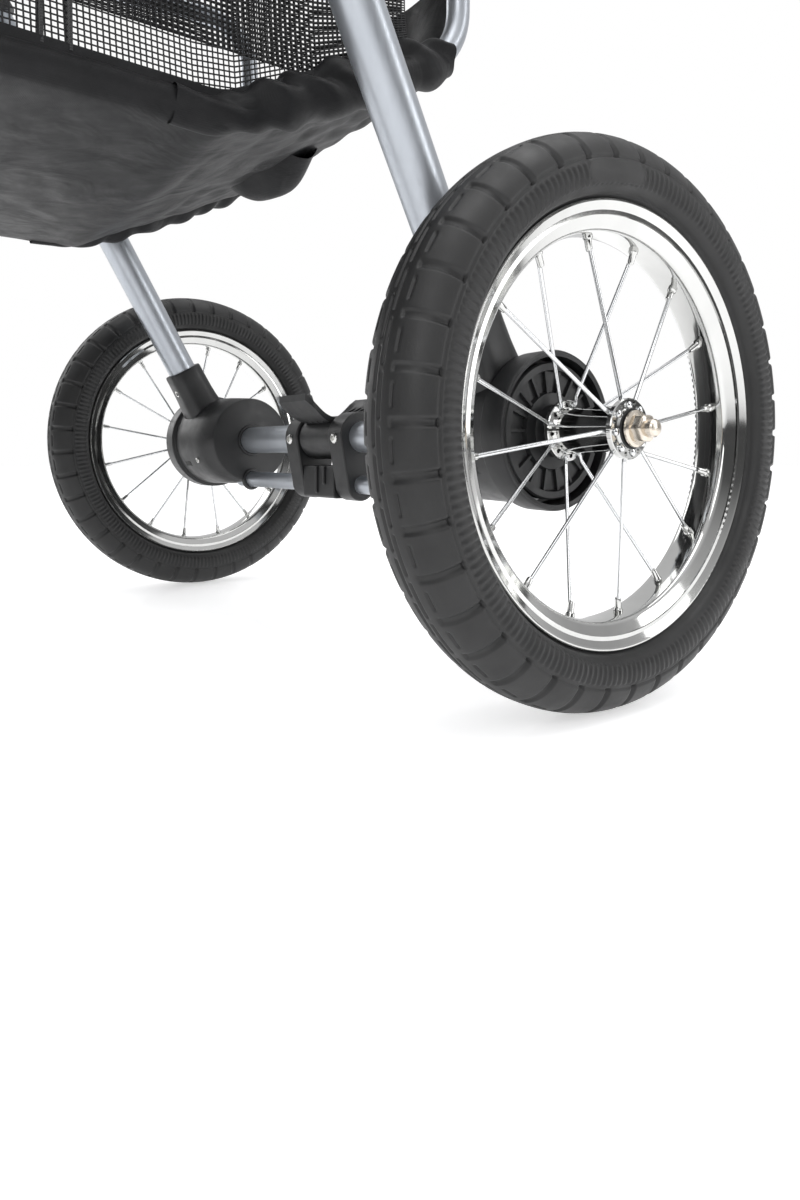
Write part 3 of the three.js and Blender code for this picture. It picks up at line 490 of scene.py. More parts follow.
def stage():
    aim()
    mesh = bpy.data.meshes.new("floor")
    mesh.from_pydata([(-9, -9, 0), (9, -9, 0), (9, 9, 0), (-9, 9, 0)], [], [(0, 1, 2, 3)])
    floor = bpy.data.objects.new("floor", mesh)
    bpy.context.scene.collection.objects.link(floor)
    paint = bpy.data.materials.new("pale_floor")
    paint.use_nodes = True
    tree = paint.node_tree
    shader = tree.nodes["Principled BSDF"]
    shader.inputs["Base Color"].default_value = (0.93, 0.93, 0.935, 1)
    shader.inputs["Roughness"].default_value = 0.6
    shader.inputs["Coat Weight"].default_value = 0.22
    shader.inputs["Coat Roughness"].default_value = 0.04
    shader.inputs["Coat IOR"].default_value = 1.75
    shader.inputs["Emission Color"].default_value = (1, 1, 1, 1)
    shader.inputs["Emission Strength"].default_value = 0.55
    mesh.materials.append(paint)
    floor.location.z = -0.0005

    world = bpy.data.worlds.new("studio")
    bpy.context.scene.world = world
    world.use_nodes = True
    t = world.node_tree
    back = t.nodes["Background"]
    seen = t.nodes.new("ShaderNodeBackground")
    seen.inputs["Color"].default_value = (1, 1, 1, 1)
    seen.inputs["Strength"].default_value = 1.0
    coords = t.nodes.new("ShaderNodeTexCoord")
    split = t.nodes.new("ShaderNodeSeparateXYZ")
    t.links.new(coords.outputs["Generated"], split.inputs[0])

    def ramp(stops, value):
        node = t.nodes.new("ShaderNodeValToRGB")
        e = node.color_ramp.elements
        e[0].position, e[1].position = stops[0][0], stops[-1][0]
        for place, _ in stops[1:-1]:
            e.new(place)
        for element, (_, grey) in zip(e, stops):
            element.color = (grey, grey, grey * 1.01, 1)
        spread = t.nodes.new("ShaderNodeMapRange")
        spread.inputs["From Min"].default_value = -1
        spread.inputs["From Max"].default_value = 1
        t.links.new(value, spread.inputs["Value"])
        t.links.new(spread.outputs["Result"], node.inputs["Fac"])
        return node.outputs["Color"]

    # a studio: dark low walls, a pale far wall and a white ceiling
    walls = ramp([(0.0, 0.6), (0.46, 0.5), (0.5, 0.10), (0.60, 0.14), (0.68, 0.55), (0.82, 0.95), (1.0, 0.9)], split.outputs["Z"])
    pale = ramp([(0.0, 0.9), (1.0, 0.9)], split.outputs["Z"])
    dot = t.nodes.new("ShaderNodeVectorMath")
    dot.operation = "DOT_PRODUCT"
    dot.inputs[1].default_value = (-0.806, 0.592, 0)
    t.links.new(coords.outputs["Generated"], dot.inputs[0])
    far = t.nodes.new("ShaderNodeMapRange")
    far.inputs["From Min"].default_value = 0.1
    far.inputs["From Max"].default_value = 0.55
    t.links.new(dot.outputs["Value"], far.inputs["Value"])
    blend = t.nodes.new("ShaderNodeMix")
    blend.data_type = "RGBA"
    t.links.new(far.outputs["Result"], blend.inputs[0])
    t.links.new(walls, blend.inputs[6])
    t.links.new(pale, blend.inputs[7])
    t.links.new(blend.outputs[2], back.inputs["Color"])
    back.inputs["Strength"].default_value = 0.8
    path = t.nodes.new("ShaderNodeLightPath")
    mix = t.nodes.new("ShaderNodeMixShader")
    t.links.new(path.outputs["Is Camera Ray"], mix.inputs[0])
    t.links.new(back.outputs[0], mix.inputs[1])
    t.links.new(seen.outputs[0], mix.inputs[2])
    t.links.new(mix.outputs[0], t.nodes["World Output"].inputs["Surface"])

    centre = (0.0, 0.1, 0.3)
    area("overhead", (0.3, 0.2, 2.6), centre, (2.6, 2.2), 40)
    area("front_left", (2.0, -1.6, 1.4), centre, (1.2, 1.8), 16)
    area("rear_left", (2.2, 1.9, 1.0), centre, (0.8, 1.6), 16)
    area("right", (-2.4, -0.4, 1.3), centre, (1.4, 1.6), 16)
    bpy.context.scene.view_settings.view_transform = "Standard"


# ---------------------------------------------------------------- tyre
def tyre_mesh():
    """One tyre in its own frame: X along the axle with +X outwards, tread, ribs and a blank panel."""
    half = np.array(
        [
            [0, 150.0], [6, 149.6], [12, 147.6], [17, 143.9], [20.6, 138.9], [22.7, 133.4],
            [23.9, 127.8], [23.3, 122.6], [21.0, 118.9], [17.6, 116.9], [14.9, 116.0], [13.6, 112.0],
        ]
    )
    fine = [half[0]]
    for k in range(len(half) - 1):
        p0 = half[k - 1] if k else half[1] * [-1, 1]
        p1, p2 = half[k], half[k + 1]
        p3 = half[k + 2] if k + 2 < len(half) else 2 * p2 - p1
        for t in np.linspace(0, 1, 13)[1:]:
            fine.append(
                0.5 * (2 * p1 + (p2 - p0) * t + (2 * p0 - 5 * p1 + 4 * p2 - p3) * t * t
                       + (3 * p1 - p0 - 3 * p2 + p3) * t ** 3)
            )
    fine = np.array(fine)
    d = np.concatenate([[0], np.cumsum(np.linalg.norm(np.diff(fine, axis=0), axis=1))])
    s = np.array(
        [0, 0.7, 1.3, 1.7, 2.1, 2.7, 3.1, 3.6, 5.0, 6.6, 7.4, 7.9, 8.4, 9.2, 9.7, 10.2, 11.2, 13, 15, 17,
         19, 21, 23, 25, 26.8, 28.0, 28.8, 29.4, 30.0, 30.6, 31.2, 31.9, 32.5, 33.1, 34.5, 36, 37.5, 39,
         40.5, 42, 43.0, 43.6, 44.2, 45.4, 47, 48.5, 50, 52, 54.5]
    )
    s = s[s < d[-1]]
    x, r = np.interp(s, d, fine[:, 0]), np.interp(s, d, fine[:, 1])
    tx, tr = np.gradient(x, s), np.gradient(r, s)
    length = np.hypot(tx, tr)
    nx, nr = -tr / length, tx / length
    x = np.concatenate([-x[:0:-1], x])
    r = np.concatenate([r[:0:-1], r])
    nx = np.concatenate([-nx[:0:-1], nx])
    nr = np.concatenate([nr[:0:-1], nr])
    side = np.concatenate([-np.ones(len(s) - 1), np.ones(len(s))])
    s = np.concatenate([s[:0:-1], s])

    count = 1200
    deg = np.arange(count) * 360 / count
    D, S = np.meshgrid(deg, s, indexing="ij")
    side = np.broadcast_to(side, D.shape)
    pitch = 9.0
    phase = np.where(side > 0, 0.0, pitch / 2)
    q = np.abs((D + phase + pitch / 2) % pitch - pitch / 2)
    mid = np.abs((D + phase) % pitch - pitch / 2)

    h = np.zeros_like(D)
    deep = 1.0 + 0.7 * smooth(20, 29, S)
    groove = (1 - smooth(0.45, 1.0, q)) * smooth(7.2, 8.4, S) * (1 - smooth(30.4, 31.4, S))
    h -= 1.15 * deep * groove
    dash = (1 - smooth(1.7, 2.2, mid)) * smooth(8.0, 8.6, S) * (1 - smooth(9.3, 9.9, S))
    h -= 1.0 * dash
    centre = smooth(1.0, 1.5, S) * (1 - smooth(2.5, 3.0, S))
    h -= 1.0 * centre * (1 - smooth(3.5, 4.0, mid))
    h -= 0.85 * smooth(29.2, 30.2, S)
    h += 0.45 * smooth(30.8, 31.2, S) * (1 - smooth(31.7, 32.1, S))
    rib = np.abs((D + 0.9) % 1.8 - 0.9)
    panel_c = 99.4
    pr = 126.0
    arc = np.abs((D - panel_c + 180) % 360 - 180) * math.pi / 180 * pr
    over = np.clip(arc - 16.5, 0, None)
    to_mid = np.hypot(over, S - 37.6)
    inside = (side > 0) & (to_mid < 5.6)
    ribs = 0.62 * (1 - smooth(0.35, 0.62, rib)) * smooth(32.2, 33.2, S) * (1 - smooth(43.2, 44.2, S))
    outline = np.exp(-(((to_mid - 5.4) / 0.7) ** 2))
    h += np.where(inside, 0.25, ribs)
    h += np.where(side > 0, 0.45 * outline, 0)

    X = x + nx * h
    R = r + nr * h
    a = np.radians(D)
    X = np.broadcast_to(X, D.shape)
    p = np.stack([X, R * np.cos(a), R * np.sin(a)], -1)
    shape = Shape()
    shape.add(p, quads(count, len(s), True, False))
    return shape


# ---------------------------------------------------------------- rim, spokes and hub
def rim_mesh():
    half = [
        (0, 100.6), (4.5, 100.9), (7.2, 101.3), (8.7, 101.8), (9.5, 102.5), (10.2, 103.6),
        (15.0, 113.6), (15.7, 114.6), (15.75, 115.3), (15.3, 115.9), (14.5, 115.9), (13.9, 115.2),
        (13.6, 113.5), (13.5, 108.4),
    ]
    shape = Shape().turned([*half, *[(-x, r) for x, r in half[:0:-1]]], 256)
    for k in range(16):
        a = math.radians(8.6 + 22.5 * k)
        out = v3(0, math.cos(a), math.sin(a))
        lean = 0.6 if k % 2 == 0 else -1.0
        shape.swept(
            [out * 101.5 + v3(lean * 0.3, 0, 0), out * 99.3 + v3(lean * 0.4, 0, 0),
             out * 98.4 + v3(lean * 0.4, 0, 0), out * 93.6 + v3(lean, 0, 0), out * 92.6 + v3(lean, 0, 0)],
            [2.6, 2.6, 1.9, 1.75, 1.3],
            14,
        )
    return mesh_of("rim", shape, CHROME, 30, local=True)


def spokes_mesh(inner_x, inner_r):
    """Spokes laced in turn to the outer and the inner flange, with a bent end in its hole."""
    shape = Shape()
    for k in range(16):
        a = math.radians(8.6 + 22.5 * k)
        outer = k % 2 == 0
        x, r = (15.5, 12.2) if outer else (inner_x, inner_r - 2.8)
        out = v3(0, math.cos(a), math.sin(a))
        across = v3(0, -math.sin(a), math.cos(a)) * (0.8 if (k // 2) % 2 else -0.8)
        inward = v3(-1 if outer else 1, 0, 0)
        hole = v3(x, 0, 0) + out * r
        path = bent(
            [
                hole - inward * 2.6,
                hole + inward * 3.0,
                hole + inward * 3.0 + out * 5 + across,
                v3(0.6 if outer else -1.0, 0, 0) + out * 97,
            ],
            2.0,
            6,
        )
        shape.swept(path, 1.12, 12)
        shape.swept([hole - inward * 3.4, hole - inward * 2.9, hole - inward * 2.0], [0.9, 1.9, 1.9], 12)
    return mesh_of("spokes", shape, SPOKE, 50, local=True)


def hub_mesh(inner_x, inner_r):
    """Hub shell: a barrel between two flanges that are drilled for the spokes."""
    profile = [
        (inner_x - 1.6, 6.0), (inner_x - 1.6, inner_r - 0.5), (inner_x - 1.1, inner_r),
        (inner_x + 1.1, inner_r), (inner_x + 1.6, inner_r - 0.5), (inner_x + 1.7, 13.6),
        (inner_x + 3.4, 12.4), (11.8, 12.4), (13.6, 13.2), (13.9, 15.4), (14.4, 15.9), (16.7, 15.9),
        (17.2, 15.4), (17.3, 11.2), (18.6, 10.6), (18.6, 6.0),
    ]
    shape = Shape().turned(profile, 96)
    mesh = mesh_of("hub", shape, CHROME, 30, local=True)
    hub = bpy.data.objects.new("hub_blank", mesh)
    holes = Shape()
    for k in range(16):
        a = math.radians(8.6 + 22.5 * k)
        for x, r in ((15.5, 13.4), (inner_x, inner_r - 2.8)):
            c = v3(x, r * math.cos(a), r * math.sin(a))
            holes.rod(c - v3(3, 0, 0), c + v3(3, 0, 0), 1.25, 12)
    cutter = bpy.data.objects.new("hub_holes", mesh_of("hub_holes", holes, CHROME, 30, local=True))
    for o in (hub, cutter):
        bpy.context.scene.collection.objects.link(o)
    m = hub.modifiers.new("holes", "BOOLEAN")
    m.object = cutter
    m.solver = "EXACT"
    m.use_self = True
    bpy.context.view_layer.update()
    drilled = bpy.data.meshes.new_from_object(hub.evaluated_get(bpy.context.evaluated_depsgraph_get()))
    for o in (hub, cutter):
        bpy.data.objects.remove(o)
    drilled.name = "hub"
    drilled.polygons.foreach_set("use_smooth", [True] * len(drilled.polygons))
    drilled.set_sharp_from_angle(angle=math.radians(30))
    return drilled


def seal_mesh():
    profile = [(17.4, 6.2), (17.4, 10.6), (18.9, 10.6), (19.4, 10.1), (19.4, 6.2)]
    return mesh_of("seal", Shape().turned(profile, 64), DARK, 30, local=True)


def nut_shape(x0, washer=9.6, hexagon=7.6, bolt=4.6, end=29.0):
    """Flanged hexagon nut on a rounded axle end, from x0 outwards."""
    shape = Shape().turned(
        [(x0, 4.0), (x0, washer - 0.5), (x0 + 0.5, washer), (x0 + 1.6, washer), (x0 + 2.6, washer - 1.2),
         (x0 + 2.8, 4.0)],
        64,
    )
    rows = []
    for x, k in ((x0 + 2.2, 0.94), (x0 + 2.7, 1.0), (x0 + 7.0, 1.0), (x0 + 7.9, 0.94), (x0 + 8.3, 0.80)):
        ring = []
        for j in range(48):
            a = math.radians(7.5 * j)
            side = math.cos(math.radians(30)) / math.cos((a % math.radians(60)) - math.radians(30))
            r = hexagon * min(side * 1.04, 1.0) * k
            ring.append([x, r * math.cos(a), r * math.sin(a)])
        rows.append(ring)
    base = shape.count
    shape.add(np.array(rows), quads(5, 48, False, True))
    shape.faces += [[base + k for k in range(48)][::-1], [base + 192 + k for k in range(48)]]
    shape.swept(
        [[x0, 0, 0], [end - 1.6, 0, 0], [end - 0.6, 0, 0], [end, 0, 0]], [bolt, bolt, bolt * 0.86, bolt * 0.5], 40
    )
    return shape


def gear_mesh():
    """Brake disc inside the drum: a slotted ring, radial ribs and a stepped boss."""
    face = 232.0 - 266
    profile = [
        (face - 9.5, 6.2), (face - 9.5, 38.6), (face - 1.2, 39.2), (face, 38.2), (face, 34.5),
        (face - 3.2, 33.6), (face - 3.4, 22.5), (face - 0.8, 21.6), (face - 0.4, 15.0), (face + 1.2, 14.0),
        (-27.2, 13.6), (-27.2, 6.2),
    ]
    shape = Shape().turned(profile, 96)
    for k in range(18):
        a = 2 * math.pi * k / 18
        out, across = v3(0, math.cos(a), math.sin(a)), v3(0, -math.sin(a), math.cos(a))
        corners = []
        for x in (face - 4, face - 1.4):
            for r, w in ((21, 0.8), (35, 0.8), (35, -0.8), (21, -0.8)):
                corners.append(v3(x, 0, 0) + out * r + across * w)
        shape.add(np.array(corners), [[0, 1, 2, 3][::-1], [4, 5, 6, 7], [0, 1, 5, 4], [1, 2, 6, 5],
                                      [2, 3, 7, 6], [3, 0, 4, 7]])
    return mesh_of("brake_disc", shape, PLASTIC, 30, local=True)


def wheels():
    tyre = mesh_of("tyre", tyre_mesh(), RUBBER, 180, local=True)
    rim = rim_mesh()
    rear_spokes, rear_hub = spokes_mesh(-25.0, 17.0), hub_mesh(-25.0, 17.0)
    front_spokes, front_hub = spokes_mesh(-15.5, 15.0), hub_mesh(-15.5, 15.0)
    seal, disc = seal_mesh(), gear_mesh()
    nut = mesh_of("nut", nut_shape(20, end=33.6), NICKEL, 32, local=True)
    y = AXLE_Y / 1000
    turn = Matrix.Rotation(math.pi, 4, "Z")
    spots = {
        "rear_wheel_left": ("left", Matrix.Translation((0.266, y, 0.15))),
        "rear_wheel_right": ("right", Matrix.Translation((-0.266, y, 0.15)) @ turn),
    }
    for body, (side, place) in spots.items():
        placed(f"tyre_tread_{side}", tyre, body, (f"rear_tyre_{side}",), "tyre", place)
        placed(f"rim_shell_{side}", rim, body, (f"rear_rim_{side}",), "chrome", place)
        placed(f"spokes_{side}", rear_spokes, body, (), "chrome", place)
        placed(f"hub_shell_{side}", rear_hub, body, (f"rear_hub_{side}",), "chrome", place)
        placed(f"hub_seal_{side}", seal, body, (), "plastic", place)
        placed(f"brake_disc_{side}", disc, body, (f"brake_gear_{side}",), "plastic", place)
        placed(f"axle_nut_{side}", nut, "rear_frame", (f"rear_axle_{side}",), "steel", place)
    place = Matrix.Translation((0, middle("front_axle").y, 0.15))
    placed("tyre_tread_front", tyre, "front_wheel", ("front_tyre",), "tyre", place)
    placed("rim_shell_front", rim, "front_wheel", ("front_rim",), "chrome", place)
    placed("spokes_front", front_spokes, "front_wheel", (), "chrome", place)
    placed("hub_shell_front", front_hub, "front_wheel", ("front_hub",), "chrome", place)
    axle = Shape().rod(v3(-50, 0, 0), v3(50, 0, 0), 5.8, 40)
    for s in (1, -1):
        cap = nut_shape(46.3, 9.6, 7.4, 4.4, 53.6)
        axle.add(np.concatenate(cap.points) * [s, 1, 1], cap.faces)
    placed("front_axle_bolt", mesh_of("front_bolt", axle, NICKEL, 32, local=True), "fork", ("front_axle",), "steel", place)


# ---------------------------------------------------------------- rear axle
LEAN, SPLAY = math.radians(28.7), math.radians(1.83)


def leg_at(side, s):
    way = v3(side * math.sin(SPLAY), -math.sin(LEAN) * math.cos(SPLAY), math.cos(LEAN) * math.cos(SPLAY))
    return v3(side * 199.5, -4.2, WHEEL_R) + way * s


def screw(shape, place, way, r=3.6, height=1.6):
    """Pan head with a hexagon socket."""
    place, way = np.asarray(place, float), unit(np.asarray(way, float))
    rings = [(0.0, r), (height * 0.55, r), (height * 0.9, r * 0.82), (height, r * 0.52), (height * 0.3, r * 0.46),
             (height * 0.3, 0.02)]
    path = [place + way * h for h, _ in rings]
    ref = v3(1, 0, 0) if abs(way[0]) < 0.8 else v3(0, 0, 1)
    a = unit(np.cross(way, ref))
    b = np.cross(way, a)
    t = np.arange(24) * math.pi / 12
    rows = [p + rr * (np.cos(t)[:, None] * a + np.sin(t)[:, None] * b) for p, (_, rr) in zip(path, rings)]
    shape.add(np.array(rows), quads(len(rings), 24, False, True))


def drum(side):
    s = SIDES[side]
    shape = Shape().turned(
        [
            (138, 0.5), (138, 36.5), (138.7, 38.2), (140.4, 39.2), (176, 41.4), (217.4, 42.4), (218.2, 43.0),
            (218.6, 44.6), (219.6, 45.4), (233.6, 45.6), (234.8, 45.0), (235.2, 43.8), (234.6, 42.0),
            (218.5, 41.4), (217.5, 37.5), (179, 36.6), (178, 35.6), (178, 0.5),
        ],
        160,
        (0, 0, WHEEL_R),
        s,
    )
    piece(f"drum_shell_{side}", shape, PLASTIC, "rear_frame", 30, replaces=(f"drum_housing_{side}",), slot="plastic")
    collar = Shape()
    t = np.arange(40) * 2 * math.pi / 40
    c, d = np.cos(t), np.sin(t)
    section = np.stack([np.sign(c) * np.abs(c) ** 0.62, np.sign(d) * np.abs(d) ** 0.62], -1)
    ends = [18, 30, 38, 44, 52, 66, 75.6, 77.0, 77.0, 74.0]
    size = [19.0, 18.6, 17.9, 17.3, 16.7, 16.3, 16.2, 15.6, 13.4, 13.3]
    collar.swept([leg_at(s, e) for e in ends[:-2]] + [leg_at(s, 77.01), leg_at(s, 74)], size, section=section, caps=False)
    piece(f"leg_socket_{side}", collar, PLASTIC, "rear_frame", 40, slot="plastic")
    bolts = Shape()
    way = v3(s * -0.12, -0.86, -0.50)
    place = leg_at(s, 60) + unit(way) * 15.2
    screw(bolts, place, way, 3.4, 1.8)
    a = math.radians(-117)
    out = v3(0, math.sin(a), math.cos(a))
    screw(bolts, v3(s * 177, 0, WHEEL_R) + out * 41.2, out, 2.7, 1.4)
    piece(f"drum_screws_{side}", bolts, ZINC, "rear_frame", 30, slot="steel")
    # painted shade: no slot is cut in the drum housing; a flush box in matt black stands in for the shade inside the
    # slot
    slot_shade = Shape()
    a = math.radians(-122)
    out, across = v3(0, math.sin(a), math.cos(a)), v3(0, math.cos(a), -math.sin(a))
    c = v3(s * 203, 0, WHEEL_R) + out * 41.4
    corners = []
    for h in (-1.5, 0.75):
        for x, w in ((-7, -2.6), (7, -2.6), (7, 2.6), (-7, 2.6)):
            corners.append(c + v3(x, 0, 0) + across * w + out * h)
    slot_shade.add(np.array(corners), [[3, 2, 1, 0], [4, 5, 6, 7], [0, 1, 5, 4], [1, 2, 6, 5], [2, 3, 7, 6], [3, 0, 4, 7]])
    piece(f"drum_slot_shade_{side}", slot_shade, DARK, "rear_frame", 30, bevel=0.5, slot="plastic")
    # raised rings where the tubes enter the drum's inner face
    rings = Shape()
    for dz, r in ((0, 11.9), (-36.5, 7.1)):
        rings.turned([(139, r), (136.6, r), (136.2, r + 0.8), (136.6, r + 2.2), (139, r + 3.0)], 64, (0, 0, WHEEL_R + dz), s)
    piece(f"drum_bosses_{side}", rings, PLASTIC, "rear_frame", 30, slot="plastic")
    # heel of the brake rod's stop, inside the open drum
    stop = Shape()
    screw(stop, v3(s * 220, -18, WHEEL_R - 35), v3(s, 0, 0), 2.6, 1.6)
    screw(stop, v3(s * 220, 22, WHEEL_R - 33), v3(s, 0, 0), 2.6, 1.6)
    piece(f"drum_rivets_{side}", stop, ZINC, "rear_frame", 30, slot="steel")


def cheek_outline(upper, lower, drop=36.5):
    out = [(upper * math.cos(a), upper * math.sin(a)) for a in np.linspace(0, math.pi, 25)]
    out += [(lower * math.cos(a), -drop + lower * math.sin(a)) for a in np.linspace(math.pi, 2 * math.pi, 21)]
    return out


def centre_block():
    for side, s in SIDES.items():
        x0, x1 = sorted((s * 23.2, s * 42))
        shape = Shape().plate(cheek_outline(19.2, 12.4), x0, x1, (0, 0, WHEEL_R))
        piece(f"cheek_shell_{side}", shape, PLASTIC, "rear_frame", 30, bevel=1.4, replaces=(f"axle_cheek_{side}",), slot="plastic")
        bolts = Shape()
        screw(bolts, v3(s * 33.0, -18.7, WHEEL_R - 1.0), v3(0, -1, -0.03), 4.0, 2.2)
        screw(bolts, v3(s * 33.0, 18.7, WHEEL_R - 1.0), v3(0, 1, -0.03), 4.0, 2.2)
        piece(f"cheek_screws_{side}", bolts, ZINC, "rear_frame", 30, slot="steel")
    shape = Shape().plate([(-12, -22), (-13, -26), (-13, -46), (-11, -47.5), (11, -47.5), (13, -46), (13, -26), (12, -22)],
                          -22.6, 22.6, (0, 0, WHEEL_R))
    shape.plate([(-14.6, -24), (-14.6, -43), (-12, -45), (-12, -22)], -3.2, -0.4, (0, 0, WHEEL_R))
    shape.plate([(-14.6, -24), (-14.6, -36), (-12, -38), (-12, -22)], 8.0, 10.5, (0, 0, WHEEL_R))
    piece("rod_block", shape, PLASTIC, "rear_frame", 30, bevel=0.9, replaces=("brake_block",), slot="plastic")


def pedal():
    """Sleeve on the upper tube with a dished wing to the front and to the rear."""
    sleeve = Shape().turned(
        [(-22.2, 12.1), (-22.2, 16.4), (-21.6, 17.0), (21.6, 17.0), (22.2, 16.4), (22.2, 12.1)], 80, (0, 0, WHEEL_R)
    )
    piece("pedal_sleeve", sleeve, PLASTIC, "brake_pedal", 30, replaces=("brake_pedal",), slot="plastic")
    wings = Shape()
    for way in (1, -1):
        across = np.linspace(-1, 1, 21)
        along = np.linspace(0, 1, 17)
        rows = []
        for top in (True, False):
            for t in along:
                y = way * (6 + 30.5 * t)
                z = 13.5 + 17.0 * t ** 1.15 - 3.2 * math.sin(math.pi * t)
                half = 17.5 + 5.0 * float(smooth(0.05, 0.8, t))
                half *= math.sqrt(max(0.0, 1 - 0.22 * float(smooth(0.86, 1.0, t))))
                row = []
                for u in across:
                    lip = 1.9 * float(smooth(0.80, 0.95, abs(u))) + 1.9 * float(smooth(0.86, 0.96, t))
                    lift = min(lip, 2.0) if top else -3.6 + min(lip, 1.0) * 0.4
                    row.append([u * half, y - way * (0 if top else 0.8) * (1 - t), WHEEL_R + z + lift])
                rows.append(row)
        n, m = 17, 21
        p = np.array(rows)
        base = wings.count
        wings.add(p, np.concatenate([quads(n, m), quads(n, m)[:, ::-1] + n * m]))
        rim = []
        edge = [j for j in range(m)] + [i * m + m - 1 for i in range(1, n)] +                [(n - 1) * m + j for j in range(m - 2, -1, -1)] + [i * m for i in range(n - 2, 0, -1)]
        for a, b in zip(edge, edge[1:] + edge[:1]):
            rim.append([base + b, base + a, base + a + n * m, base + b + n * m])
        wings.faces += rim
        for x in (-12, -4, 4, 12):
            wings.plate(
                [(way * 8, 13.0), (way * 16, 11.5), (way * 33, 24.4), (way * 33, 26.4), (way * 9, 15.5)],
                x - 0.9, x + 0.9, (0, 0, WHEEL_R),
            )
    piece("pedal_wings", wings, PLASTIC, "brake_pedal", 42, slot="plastic")


def rear_axle():
    for side, s in SIDES.items():
        drum(side)
        leg = Shape().rod(leg_at(s, 46), leg_at(s, 434), 13.0, 64)
        piece(f"leg_tube_{side}", leg, TUBE, "rear_frame", 30, replaces=(f"rear_leg_{side}",), slot="frame_tube")
        low = Shape().rod(v3(s * 28.3, 0, 113.5), v3(s * 157, 0, 113.5), 7.0, 48)
        piece(f"lower_tube_{side}", low, TUBE, "rear_frame", 30, replaces=(f"brake_tube_{side}",), slot="frame_tube")
    upper = Shape().rod(v3(-157, 0, WHEEL_R), v3(157, 0, WHEEL_R), 11.8, 64)
    piece("upper_tube", upper, TUBE, "rear_frame", 30, replaces=("axle_tube",), slot="frame_tube")
    centre_block()
    pedal()


# ---------------------------------------------------------------- frame tubes and fold joints
PIVOT = leg_at(1, 468)
LEG_X, FRAME_X, HANDLE_X = PIVOT[0], PIVOT[0] - 24, PIVOT[0] - 48
HANDLE_LEAN = math.radians(49.2)


def pivot_at(x):
    return v3(x, PIVOT[1], PIVOT[2])


def knee(s):
    return v3(s * FRAME_X, PIVOT[1] - 195, PIVOT[2] - 90)


def head_end(s):
    return v3(s * 40, -638, 372)


def frame_at(s, d):
    return toward(pivot_at(s * FRAME_X), knee(s), d)


def handle_top(s):
    return v3(s * 200, PIVOT[1] + 613 * math.cos(HANDLE_LEAN), PIVOT[2] + 613 * math.sin(HANDLE_LEAN))


def handle_at(s, d):
    return toward(pivot_at(s * HANDLE_X), handle_top(s), d)


def hoop_end(s, d):
    rise = math.radians(12)
    return v3(s * FRAME_X, PIVOT[1] + d * math.cos(rise), PIVOT[2] - d * math.sin(rise))


HOOP_X = 144
HOOP = [(4, 530), (4, 394), (-160, 314), (-392, 318)]


def hoop_path():
    def half(s):
        return [hoop_end(s, 33.5), hoop_end(s, 80)] + [v3(s * HOOP_X, y, z) for y, z in HOOP]
    return bent(half(1) + half(-1)[::-1], 42, 12)


def fold_disc(name, side, x, goal, body, sockets=()):
    """Round joint disc with its tube socket and any further sockets."""
    s = SIDES[side]
    c = pivot_at(s * x)
    shape = Shape().turned(
        [(-11.6, 5.6), (-11.6, 24.0), (-11.2, 28.6), (-10.0, 30.0), (10.0, 30.0), (11.2, 28.6), (11.6, 24.0),
         (11.6, 5.6)], 96, c)
    way = unit(v3(0, goal[1] - c[1], goal[2] - c[2]))
    true = unit(np.asarray(goal) - c)
    shape.swept([c + way * 22, c + true * 34, c + true * 48, c + true * 62.6, c + true * 63.8, c + true * 64.0,
                 c + true * 60], [15.6, 16.8, 17.0, 17.0, 16.2, 13.5, 13.4], 48, caps=False)
    for end, r in sockets:
        q = unit(end - c)
        shape.swept([c + q * 22, c + q * 40, c + q * 55, c + q * 56, c + q * 52], [r, r, r, r - 1.6, r - 3], 40, caps=False)
    piece(name, shape, PLASTIC, body, 35, replaces=(name,), slot="plastic")


